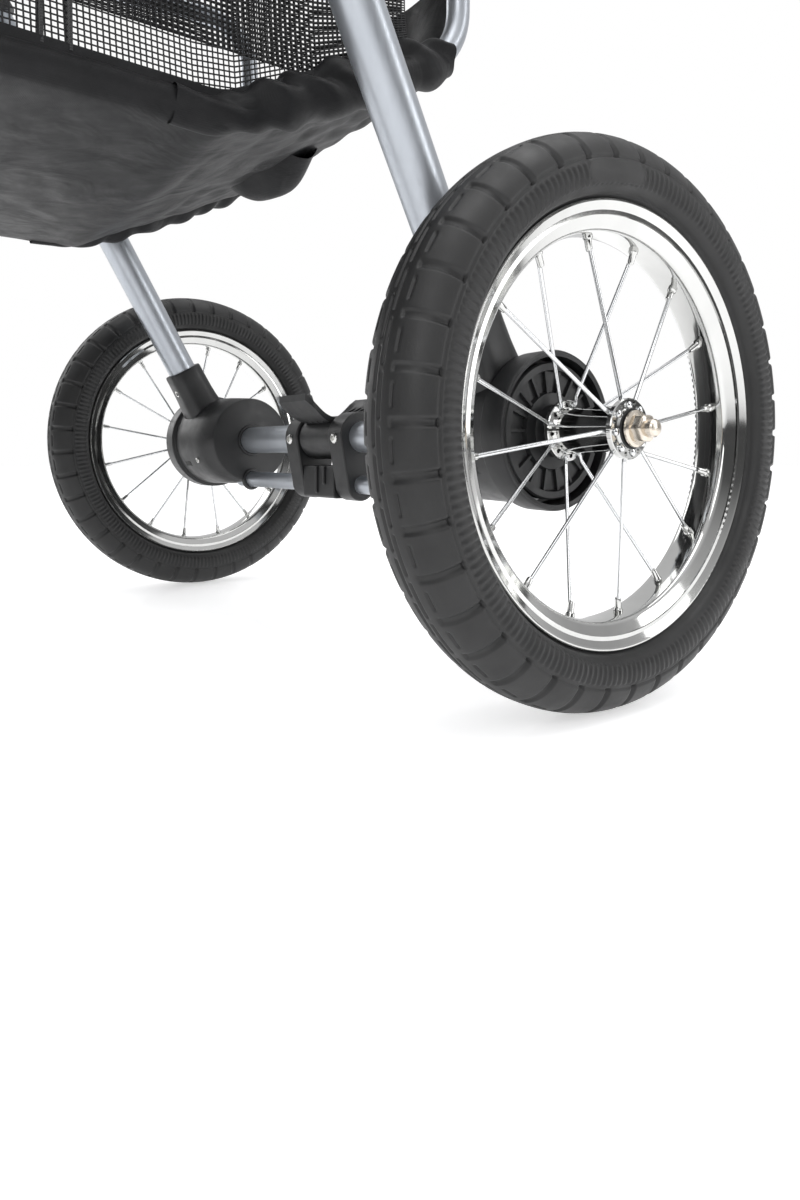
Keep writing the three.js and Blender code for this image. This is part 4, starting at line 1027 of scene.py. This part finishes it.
def frame_tubes():
    for side, s in SIDES.items():
        fold_disc(f"leg_disc_{side}", side, LEG_X, leg_at(s, 0), "rear_frame")
        fold_disc(f"frame_disc_{side}", side, FRAME_X, knee(s), "chassis", [(hoop_end(s, 60), 11.0)])
        fold_disc(f"handle_disc_{side}", side, HANDLE_X, handle_top(s), "handle")
        bolt = Shape()
        bolt.turned([(s * (LEG_X + 12), 0.4), (s * (LEG_X + 12), 15.5), (s * (LEG_X + 13.2), 17), (s * (LEG_X + 15.6), 16.2),
                     (s * (LEG_X + 16.6), 13), (s * (LEG_X + 17), 0.4)], 64, (0, PIVOT[1], PIVOT[2]))
        bolt.turned([(s * (HANDLE_X - 12), 0.4), (s * (HANDLE_X - 12), 9), (s * (HANDLE_X - 15), 9), (s * (HANDLE_X - 16), 7.5),
                     (s * (HANDLE_X - 16), 0.4)], 48, (0, PIVOT[1], PIVOT[2]))
        piece(f"pivot_cap_{side}", bolt, NICKEL, "chassis", 30, replaces=(f"pivot_bolt_{side}",), slot="steel")
        path = bent([frame_at(s, 34), knee(s), head_end(s)], 90)
        piece(f"front_tube_skin_{side}", Shape().swept(path, 13, 48), TUBE, "chassis", 60,
              replaces=(f"front_tube_{side}",), slot="frame_tube")
        collar = Shape()
        at = [65, 65.6, 68, 72, 78, 100, 106, 109, 110.4, 111]
        size = [17, 18.4, 19.2, 19.2, 18.0, 18.0, 19.2, 19.2, 18.4, 16.6]
        collar.swept([handle_at(s, a) for a in at], size, 56, caps=False)
        for k in range(14):
            a = 2 * math.pi * k / 14
            d = unit(handle_at(s, 100) - handle_at(s, 0))
            e = unit(np.cross(d, v3(0, 0, 1)))
            g = np.cross(d, e)
            o = (e * math.cos(a) + g * math.sin(a)) * 17.9
            collar.swept([handle_at(s, 79) + o, handle_at(s, 99) + o], 1.1, 10)
        piece(f"collar_grip_{side}", collar, PLASTIC, f"fold_collar_{side}", 35, replaces=(f"fold_collar_{side}",), slot="plastic")
        c = handle_at(s, 380)
        clamp = Shape().swept([handle_at(s, a) for a in (363, 363.4, 366, 394, 396.6, 397)], [13.4, 17, 18, 18, 17, 13.4], 48,
                              caps=False)
        end = s * 213.9
        clamp.turned([(c[0] + s * 12, 0.4), (c[0] + s * 12, 12), (end - s * 1.2, 12), (end, 10.8), (end, 0.4)], 48, (0, c[1], c[2]))
        clamp.turned([(end, 0.4), (end, 3), (s * 233, 3), (s * 233, 8), (s * 235, 7.6), (s * 236, 0.4)], 32, (0, c[1], c[2]))
        piece(f"canopy_clamp_skin_{side}", clamp, PLASTIC, "handle", 35, replaces=(f"canopy_clamp_{side}",), slot="plastic")
    path = bent([handle_at(1, 34), handle_top(1), handle_top(-1), handle_at(-1, 34)], 60)
    piece("handle_bar", Shape().swept(path, 13, 48), TUBE, "handle", 60, replaces=("handle_tube",), slot="frame_tube")
    top = handle_top(1)
    grip = Shape().turned([(-125, 13.2), (-125, 16.6), (-123.6, 18), (123.6, 18), (125, 16.6), (125, 13.2)], 56,
                          (0, top[1], top[2]))
    piece("foam_grip", grip, FOAM, "handle", 35, replaces=("handle_grip",), slot="foam")
    bands = Shape()
    for x in (-126.5, 126.5):
        bands.turned([(x - 2, 13.1), (x - 2, 18.2), (x + 2, 18.2), (x + 2, 13.1)], 48, (0, top[1], top[2]))
    piece("grip_bands", bands, PLASTIC, "handle", 30, slot="plastic")
    piece("hoop_skin", Shape().swept(hoop_path(), 7.5, 40), TUBE, "chassis", 60, replaces=("basket_hoop",), slot="frame_tube")
    y, z = frame_at(1, 206)[1:]
    piece("seat_bar_front_skin", Shape().rod(v3(-188, y, z), v3(188, y, z), 9, 40), TUBE, "chassis", 60,
          replaces=("seat_front_bar",), slot="frame_tube")
    y, z = frame_at(1, 80)[1:]
    path = bent([v3(FRAME_X, y, z - 8), v3(FRAME_X, y, 468), v3(-FRAME_X, y, 468), v3(-FRAME_X, y, z - 8)], 24)
    piece("seat_bar_sling_skin", Shape().swept(path, 8, 36), TUBE, "chassis", 60, replaces=("seat_sling_bar",), slot="frame_tube")


def front_end():
    """Steering head, swivelling fork, footrest."""
    head = Shape().turned(
        [(343, 11.3), (343, 22.5), (344.5, 24), (348, 24), (349.5, 22.8), (392, 22.8), (393.5, 24), (396.8, 24), (398, 22.8),
         (398, 11.3)], 80)
    head.points = [p[:, [1, 2, 0]] + v3(0, -650, 0) for p in head.points]
    for s in (1, -1):
        way = unit(knee(s) - head_end(s))
        e = head_end(s)
        head.swept([e - way * 14, e, e + way * 30, e + way * 41, e + way * 42, e + way * 38],
                   [16, 17, 17, 17, 15.5, 13.3], 48, caps=False)
    piece("head_skin", head, PLASTIC, "chassis", 35, replaces=("steering_head",), slot="plastic")
    cap = Shape().turned([(398.4, 0.4), (398.4, 18), (400, 19), (406, 18.4), (409.4, 14), (410.4, 0.4)], 64)
    cap.points = [p[:, [1, 2, 0]] + v3(0, -650, 0) for p in cap.points]
    piece("stem_cap_skin", cap, PLASTIC, "fork", 35, replaces=("stem_cap",), slot="plastic")
    fork = Shape()
    t = np.linspace(0, math.pi, 15)
    blade = [(-670, 337), (-670, 314), (-664, 280), (-640, 215), (-627, 165)]
    blade += [(-610 - 16 * math.cos(a), 150 - 16 * math.sin(a)) for a in t]
    blade += [(-600, 190), (-612, 235), (-622, 292), (-622, 337)]
    for s in (1, -1):
        x0, x1 = sorted((s * 34.2, s * 45.8))
        fork.plate(blade, x0, x1)
    fork.plate([(-670, 337), (-670, 317), (-622, 317), (-622, 337)], -45.8, 45.8)
    for s in (1, -1):
        x0, x1 = sorted((s * 45.7, s * 47.0))
        fork.plate([(-660, 320), (-655, 275), (-634, 218), (-624, 188), (-614, 190), (-622, 236), (-634, 285), (-636, 322)], x0, x1)
    stem = Shape().rod(v3(0, -650, 336), v3(0, -650, 399), 11, 40)
    fork.add(np.concatenate(stem.points), stem.faces)
    piece("fork_skin", fork, PLASTIC, "fork", 35, bevel=1.6, replaces=("front_fork",), slot="plastic")
    a = (FRAME_X - 120) / (FRAME_X - 40)
    anchor = knee(1) * (1 - a) + head_end(1) * a
    y, drop = anchor[1], anchor[2] - 12
    path = bent([v3(120, y, drop), v3(120, y + 12, 338), v3(-120, y + 12, 338), v3(-120, y, drop)], 26)
    piece("footrest_skin", Shape().swept(path, 7, 36), TUBE, "chassis", 60, replaces=("footrest_tube",), slot="frame_tube")
    y += 12
    board = Shape().plate([(y - 38, 347.3), (y - 38, 345.4), (y + 38, 345.4), (y + 44, 351), (y + 42, 355), (y + 36, 351.2),
                           (y - 34, 351.2)], -88, 88)
    for k in range(9):
        yy = y - 30 + 7.5 * k
        board.plate([(yy, 351), (yy + 0.6, 352.2), (yy + 2.4, 352.2), (yy + 3, 351)], -80, 80)
    piece("footboard", board, PLASTIC, "chassis", 35, bevel=1.2, replaces=("footrest_plate",), slot="plastic")


# ---------------------------------------------------------------- soft goods
def cloud(p, scale, seed=0.0):
    """A smooth, repeatable field of soft lumps between -1 and 1."""
    x, y, z = (np.asarray(p, float) / scale).T
    out = np.zeros_like(x)
    total = 0.0
    for k, (a, b, c) in enumerate(((1.0, 0.7, 0.4), (-0.6, 1.3, 0.8), (1.9, -0.5, 1.1), (0.3, 2.1, -1.7), (2.7, 1.6, 0.9))):
        w = 1.0 / (1 + 0.45 * k)
        out += w * np.sin(a * x + b * y + c * z + seed * (k + 1) + 1.7 * k + 0.6 * np.sin(0.7 * b * x - a * y))
        total += w
    return out / total


def surface(points, nu, nv):
    return Shape().add(np.asarray(points), quads(nu, nv))


def hem_z(y):
    """Height of the hoop's centre line along the basket."""
    path = bent([v3(0, a, b) for a, b in HOOP[::-1][:3]] + [v3(0, 4, 530)], 42, 12)
    path = path[path[:, 2] < 392]
    return np.interp(y, path[:, 1], path[:, 2])


def net(shape, place, u_count, v_count, r=0.42, steps=26):
    """Threads both ways over place(u, v), u and v from 0 to 1."""
    for count, other in ((u_count, 0), (v_count, 1)):
        for k in range(count + 1):
            fixed = k / count
            t = np.linspace(0, 1, steps)
            path = np.array([place(fixed, a) if other == 0 else place(a, fixed) for a in t])
            shape.swept(path, r, 4, caps=False)
    return shape


def basket_floor():
    """Nylon floor, wrapped round the side tubes of the hoop and sagging to the rear."""
    nv, na, nc = 150, 12, 60
    ys = np.linspace(-392, -14, nv)
    rows = []
    for y in ys:
        z = float(hem_z(y))
        row = []
        wrap = 8.8
        for a in np.linspace(math.radians(128), math.radians(-92), na):
            row.append([HOOP_X + wrap * math.cos(a), y, z + wrap * math.sin(a)])
        sag = 2 + 5 * float(smooth(-190, -70, y))
        side = row
        other = [[-x, yy, zz] for x, yy, zz in row[::-1]]
        mid = []
        for x in np.linspace(141, -141, nc)[1:-1]:
            k = max(0.0, 1 - (x / 143) ** 2)
            mid.append([x, y, z - wrap - sag * k ** 0.75])
        rows.append(side + mid + other)
    p = np.array(rows)
    nu = p.shape[1]
    flat = p.reshape(-1, 3)
    edge = smooth(0, 6, np.minimum(np.arange(nu), np.arange(nu)[::-1]))
    edge = np.broadcast_to(edge, (nv, nu)).reshape(-1)
    rear = smooth(-230, -60, flat[:, 1])
    lumps = cloud(flat * [1, 1.6, 1], 42, 0.4)
    folds = np.abs(cloud(flat * [0.5, 1.9, 1], 21, 2.1)) ** 0.8
    pucker = np.sin(flat[:, 0] / 5.2 + 2.4 * np.sin(flat[:, 1] / 26)) * smooth(-130, -60, flat[:, 1])
    flat[:, 2] += edge * (1.6 * lumps - (0.8 + 3.2 * rear) * folds + 0.8 * pucker)
    side = np.abs(flat[:, 0]) > 139
    flat[:, 0] += np.sign(flat[:, 0]) * np.where(side, 0.7 * np.sin(flat[:, 1] / 6.5) * rear, 0)
    obj = piece("basket_floor", surface(flat, nv, nu), NYLON, "chassis", 180, levels=1, replaces=("basket",), slot="mesh")
    # cut: 282 between the side tubes and 34 round each, by 394 along the hem
    # the cross edge: the front hem
    ribs = Shape()
    z = float(hem_z(-392)) - 8.8
    path = [[x, -392, z - 2 * max(0.0, 1 - (x / 143) ** 2) ** 0.75] for x in np.linspace(-141, 141, 40)]
    ribs.swept(path, 1.6, 10)
    piece("floor_piping", ribs, NYLON, "chassis", 60, slot="mesh")


def basket_walls():
    top_z = 440.0
    side_net = Shape()
    dark_net = Shape()
    for s in (1, -1):
        def wall(u, v, s=s):
            y = -388 + 352 * u
            low = float(hem_z(y)) + 7.5
            return [s * (145 - 4 * math.sin(math.pi * v) - 3 * v), y, low + (top_z - low) * v]
        net(side_net, wall, 117, 39, 0.45, 16)

        def lining(u, v, s=s):
            y = -388 + 352 * u
            low = max(float(hem_z(y)) + 7.5, 352)
            return [s * (140 - 3 * math.sin(math.pi * v) - 2 * v), y, low + (top_z - low) * v]
        net(dark_net, lining, 110, 30, 0.75, 12)

    def front(u, v):
        x = -142 + 284 * u
        return [x, -391 + 4 * math.sin(math.pi * v), 325 + (top_z - 325) * v]

    net(side_net, front, 80, 27, 0.45, 12)
    piece("basket_net", side_net, NET, "chassis", 180, slot="mesh")
    piece("basket_net_lining", dark_net, NET, "chassis", 180, slot="mesh")
    # bindings along the foot and the top of the net
    bind = Shape()
    section = np.array([(-0.8, -4), (0.8, -4), (1.1, 0), (0.8, 4), (-0.8, 4), (-1.1, 0)])
    for s in (1, -1):
        ys = np.linspace(-390, -40, 70)
        path = [[s * (147 + 0.5 * math.sin(y / 9)), y, float(hem_z(y)) + 8] for y in ys]
        bind.swept(path, 1.0, section=section)
        path = [[s * 141.5, y, top_z] for y in ys]
        bind.swept(path, 1.3, section=section)
    bind.swept([[x, -391, top_z] for x in np.linspace(-142, 142, 30)], 1.3, section=section)
    bind.swept([[x, -391.5, 326] for x in np.linspace(-144, 144, 30)], 1.0, section=section)
    piece("basket_binding", bind, NYLON, "chassis", 50, slot="mesh")
    # rear wall of nylon, gathered at its foot
    nu, nv = 90, 30
    rows = []
    for i in range(nv):
        v = i / (nv - 1)
        row = []
        for j in range(nu):
            x = -141 + 282 * j / (nu - 1)
            k = max(0.0, 1 - (x / 143) ** 2)
            z = 379 - 7 * k ** 0.75 * (1 - v) + (top_z + 8 - 379) * v
            y = -14 + 22 * v ** 0.6 + 6 * k * math.sin(math.pi * v)
            wave = math.sin(x / 6.3 + 1.3 * math.sin(x / 31)) * (1 - 0.75 * v) * 2.6
            row.append([x, y + wave, z])
        rows.append(row)
    obj = piece("basket_rear", surface(np.array(rows), nv, nu), NYLON, "chassis", 180, levels=1, slot="mesh")


def basket_gathers():
    """Cloth drawn round the rising side tubes, with a tail below and webbing on the near wall."""
    for side, s in SIDES.items():
        path = bent([v3(s * HOOP_X, a, b) for a, b in ((-190, 314.5), (-160, 314), (4, 394))], 42, 12)
        path = resampled(path, 120)[:112]
        n = 64
        rows = []
        tangent = np.gradient(path, axis=0)
        tangent /= np.linalg.norm(tangent, axis=1)[:, None]
        for k, (c, t) in enumerate(zip(path, tangent)):
            f = k / (len(path) - 1)
            out = v3(s, 0, 0)
            up = np.cross(out, t) * s
            row = []
            for j in range(n):
                a = math.radians(-160 + 320 * j / (n - 1))
                grow = 9.6 + 7.0 * float(smooth(0.08, 0.5, f)) * (0.4 + 0.6 * max(0.0, math.sin(-a + 0.5)))
                grow -= 3.5 * float(smooth(0.86, 1.0, f))
                fold = 2.7 * math.sin(k / 2.5 + 2.2 * math.sin(a + 0.4) + 1.1 * math.sin(2 * a + k / 9)) * float(smooth(0.02, 0.3, f))
                fold += 1.6 * math.sin(k / 5.7 + 3.1 * a)
                r = max(8.6, grow + fold * (0.75 + 0.25 * math.sin(a)))
                row.append(c + r * (math.cos(a) * out + math.sin(a) * up))
            rows.append(row)
        shape = Shape().add(np.array(rows), quads(len(path), n))
        obj = piece(f"basket_gather_{side}", shape, NYLON, "chassis", 180, levels=1, slot="mesh")
    tail = Shape()
    outline = [(-98, 350), (-82, 343), (-68, 333), (-60, 329.5), (-52, 328.5), (-46, 330), (-42, 337), (-39, 348), (-36, 362)]
    nx = 24
    rows = []
    for j in range(nx):
        x = -46 + 92 * j / (nx - 1)
        k = 1 - abs(x / 60) ** 2.4
        rows.append([[x, y + 2.5 * math.sin(x / 11), 358 + (z - 358) * k] for y, z in outline])
    tail.add(np.array(rows), quads(nx, len(outline)))
    obj = piece("basket_tail", tail, NYLON, "chassis", 180, levels=2, slot="mesh")
    # cut: 92 across the basket, by 88 along the fold of the tail
    straps = Shape()
    section = np.array([(-0.7, -4.5), (0.7, -4.5), (0.7, 4.5), (-0.7, 4.5)])
    for s in (1, -1):
        for y in (-252, -239):
            path = [[s * (143.5 - 4 * math.sin(math.pi * v)), y + 1.5 * math.sin(3 * v), 324 + 116 * v] for v in np.linspace(0, 1, 24)]
            straps.swept(path, 1.0, section=section)
        for y in (-380, -120):
            path = [[s * (142 + 40 * min(1.0, 1.2 * v)), y - 8 * v, 438 + 34 * v] for v in np.linspace(0, 1, 12)]
            straps.swept(path, 1.0, section=section)
    piece("basket_webbing", straps, WEB, "chassis", 40, slot="fabric")


BACK_LEAN = math.radians(25)
BACK_FOOT = (PIVOT[1] - 3, PIVOT[2] - 60)
SEAT_TILT = math.atan2(7.0, 114.4)
SEAT_FOOT = (-301.47, 476.5)


def back_at(x, y, z):
    c, s = math.cos(BACK_LEAN), math.sin(BACK_LEAN)
    return v3(x, BACK_FOOT[0] + y * c + z * s, BACK_FOOT[1] - y * s + z * c)


def seat_at(x, y, z):
    c, s = math.cos(SEAT_TILT), math.sin(SEAT_TILT)
    return v3(x, SEAT_FOOT[0] + y * c + z * s, SEAT_FOOT[1] - y * s + z * c)


def box_grid(place, low, high, counts, round_by):
    """A closed box of quads with rounded edges, placed by place(x, y, z)."""
    bm = bmesh.new()
    bmesh.ops.create_cube(bm, size=2)
    bmesh.ops.subdivide_edges(bm, edges=bm.edges, cuts=counts, use_grid_fill=True)
    p = np.array([v.co for v in bm.verts])
    faces = [[v.index for v in f.verts] for f in bm.faces]
    bm.free()
    low, high = np.array(low, float), np.array(high, float)
    half, mid = (high - low) / 2, (high + low) / 2
    q = p * half
    inner = np.clip(q, -(half - round_by), half - round_by)
    d = q - inner
    length = np.linalg.norm(d, axis=1)
    d = d / np.maximum(length, 1e-9)[:, None] * np.minimum(length, round_by)[:, None]
    q = inner + d + mid
    return Shape().add(np.array([place(*a) for a in q]), faces), q


def swollen(obj, pressure, cap):
    """Fills a pad with Blender's cloth under pressure, then holds each point within a limit."""
    rest = np.array([v.co for v in obj.data.vertices])
    m = obj.modifiers.new("cloth", "CLOTH")
    m.settings.use_pressure = True
    m.settings.uniform_pressure_force = pressure
    m.settings.effector_weights.gravity = 0
    m.settings.quality = 5
    m.settings.tension_stiffness = 25
    m.settings.compression_stiffness = 25
    m.settings.bending_stiffness = 0.6
    for f in range(1, 21):
        bpy.context.scene.frame_set(f)
    got = obj.evaluated_get(bpy.context.evaluated_depsgraph_get())
    now = np.array([v.co for v in got.data.vertices])
    obj.modifiers.remove(m)
    bpy.context.scene.frame_set(1)
    move = now - rest
    length = np.linalg.norm(move, axis=1)
    move *= (np.minimum(length, cap / 1000) / np.maximum(length, 1e-9))[:, None]
    obj.data.vertices.foreach_set("co", (rest + move).reshape(-1))
    obj.data.update()


def pad(name, node, body, place, low, high, seams_x, seams_z, thin):
    """A padded panel: swollen by cloth pressure, with sewn channels."""
    shape, q = box_grid(place, low, high, 44, thin)
    obj = piece(name, shape, SEAT, None, 180)
    swollen(obj, 4.0, 5.0)
    p = np.array([v.co for v in obj.data.vertices])
    axis_z = 2 if high[2] - low[2] > high[1] - low[1] else 1
    depth = 1 if axis_z == 2 else 2
    face = low[1] if axis_z == 2 else high[2]
    normal = place(0, -1, 0) - place(0, 0, 0) if axis_z == 2 else place(0, 0, 1) - place(0, 0, 0)
    near = smooth(0.55, 0.95, 1 - np.abs(q[:, depth] - face) / abs(high[depth] - low[depth]))
    push = np.zeros(len(q))
    for x in seams_x:
        push += 4.6 * np.exp(-((q[:, 0] - x) / 4.0) ** 2)
    for z in seams_z:
        push += 4.2 * np.exp(-((q[:, axis_z] - z) / 4.0) ** 2)
    push = np.minimum(push, 6.0) - 1.0 * cloud(q, 33, 1.0)
    p -= (near * push)[:, None] * unit(normal) / 1000
    obj.data.vertices.foreach_set("co", p.reshape(-1))
    obj.data.update()
    m = obj.modifiers.new("smooth", "SUBSURF")
    m.levels = m.render_levels = 1
    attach(obj, body)
    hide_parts(node)
    return obj


def seat():
    pad("seat_cushion", "seat_pad", "chassis", seat_at, (-150, -125, 9.5), (150, 53, 27),
                  (-92, 92), (-72, -18, 30), 9)
    pad("back_cushion", "backrest_pad", "backrest", back_at, (-140, -32, 24), (140, -5.5, 467),
               (-92, 92), (85, 160, 235, 310, 385), 10)
    pipe = Shape()
    edge = [(-148, -122), (148, -122), (148, 50), (-148, 50), (-148, -122)]
    path = bent([seat_at(x, y, 18.5) for x, y in edge], 9, 6)
    pipe.swept(path, 2.1, 12)
    piece("seat_piping", pipe, PIPING, "chassis", 60, slot="fabric")
    pipe = Shape()
    edge = [(-138, 26), (138, 26), (138, 465), (-138, 465), (-138, 26)]
    path = bent([back_at(x, -20, z) for x, z in edge], 12, 6)
    pipe.swept(path, 2.1, 12)
    piece("back_piping", pipe, PIPING, "backrest", 60, slot="fabric")
    # boards under the cushions, with ribs behind the backrest
    a, _ = box_grid(seat_at, (-150, -127, 0.2), (150, 55, 8), 10, 3)
    piece("seat_board_skin", a, PLASTIC, "chassis", 35, replaces=("seat_board",), slot="plastic")
    a, _ = box_grid(back_at, (-142, -4, 16), (142, 3, 464), 12, 3)
    for x in (-96, -48, 0, 48, 96):
        rib, _ = box_grid(back_at, (x - 2.2, 2.0, 40), (x + 2.2, 6.5, 440), 4, 1.8)
        a.add(np.concatenate(rib.points), rib.faces)
    piece("backrest_board_skin", a, PLASTIC, "backrest", 35, replaces=("backrest_board",), slot="plastic")


def harness():
    """Five-point harness laid over the cushions."""
    section = np.array([(-0.8, -12), (0.8, -12), (0.8, 12), (-0.8, 12)])
    shoulder = Shape()
    for s in (1, -1):
        path = [back_at(s * (52 - 8 * t), -38.5 - 2.5 * math.sin(math.pi * t), 372 - 222 * t) for t in np.linspace(0, 1, 26)]
        shoulder.swept(path, 1.0, section=section[:, ::-1])
        padded, _ = box_grid(lambda x, y, z, s=s: back_at(s * 48 + x, y, z), (-20, -46, 205), (20, -38, 345), 10, 3.8)
        obj = piece(f"shoulder_pad_{'left' if s > 0 else 'right'}", padded, SEAT, "backrest", 60, levels=1, slot="fabric")
    piece("shoulder_straps", shoulder, WEB, "backrest", 30, slot="fabric")
    lap = Shape()
    for s in (1, -1):
        path = bent([seat_at(s * 140, 44, 31), seat_at(s * 90, 20, 36), seat_at(s * 26, -20, 39)], 40, 8)
        lap.swept(path, 1.0, section=section[:, ::-1] * [0.9, 1])
    lap.swept([seat_at(0, y, 31.5 + 8 * float(smooth(-96, -40, y))) for y in np.linspace(-96, -30, 18)], 1.0, section=section[:, ::-1])
    piece("lap_straps", lap, WEB, "chassis", 30, slot="fabric")
    buckle, _ = box_grid(lambda x, y, z: seat_at(x, y, z), (-26, -42, 36), (26, 6, 47), 8, 4.5)
    button, _ = box_grid(lambda x, y, z: seat_at(x, y, z), (-9, -28, 46), (9, -8, 49.5), 4, 1.6)
    buckle.add(np.concatenate(button.points), button.faces)
    piece("harness_buckle", buckle, PLASTIC, "chassis", 35, slot="plastic")


def canopy():
    """Hood: one curved sheet over two ribs, with seams, a rolled front hem and a rear hem."""
    c = handle_at(1, 380)
    rear, front = math.radians(75), math.radians(142)

    def arch(x, r, bend, low=34):
        return bent([v3(x, 0, low), v3(x, 0, r), v3(-x, 0, r), v3(-x, 0, low)], bend, 14)

    def spun(p, angle):
        return v3(p[0], c[1] + p[2] * math.cos(angle), c[2] + p[2] * math.sin(angle))

    for name, x, angle, body in (("canopy_rib_rear", 218.2, rear, "handle"), ("canopy_rib_front", 227.7, front, "canopy_front")):
        path = [spun(p, angle) for p in arch(x, 262, 105, 6)]
        rib = Shape().swept(path, 4, 24)
        for s in (1, -1):
            rib.turned([(s * x - 4, 3.2), (s * x - 4, 9), (s * x + 4, 9), (s * x + 4, 3.2)], 32, (0, c[1], c[2]))
        piece(name + "_skin", rib, ZINC, body, 60, replaces=(name,), slot="steel")
    base = resampled(arch(233, 268, 111), 120)
    nv = 61
    rows = []
    for i in range(nv):
        v = i / (nv - 1)
        angle = rear + (front - rear) * v
        sag = 11 * math.sin(math.pi * ((v * 2) % 1.0)) if 0 < v < 1 else 0
        ridge = 1.2 * math.exp(-(((v - 0.5) / 0.012) ** 2))
        row = []
        for k, p in enumerate(base):
            top = float(smooth(90, 230, p[2]))
            centre = 1 - 0.35 * abs(p[0]) / 233
            crease = 1.3 * math.sin(k / 3.1 + 5 * v) * math.sin(math.pi * v) * float(smooth(40, 120, p[2])) * (1 - float(smooth(150, 240, p[2])))
            q = v3(p[0] * (1 - 0.02 * top * sag / 11) + math.copysign(crease, p[0]), 0, p[2] - sag * top * centre + ridge * top)
            row.append(spun(q, angle))
        rows.append(row)
    rows = np.array(rows)
    hood = piece("hood_cloth", surface(rows, nv, len(base)), HOOD, None, 180, replaces=("canopy_fabric",), slot="fabric", levels=1)
    # cut: 839 along a rib by 313 at the crown, narrowing to 40 at the pivots
    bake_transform(hood)
    hem = Shape().swept([spun(p, front) for p in resampled(arch(232.5, 267.5, 110), 90)], 3.2, 14)
    piece("hood_front_hem", hem, PIPING, "canopy_front", 60, slot="fabric")
    hem = Shape().swept([spun(p, rear) for p in resampled(arch(232.5, 267.5, 110), 90)], 2.6, 14)
    piece("hood_rear_hem", hem, HOOD, "handle", 60, slot="fabric")


stage()
wheels()
rear_axle()
frame_tubes()
front_end()
basket_floor()
basket_walls()
basket_gathers()
seat()
harness()
canopy()
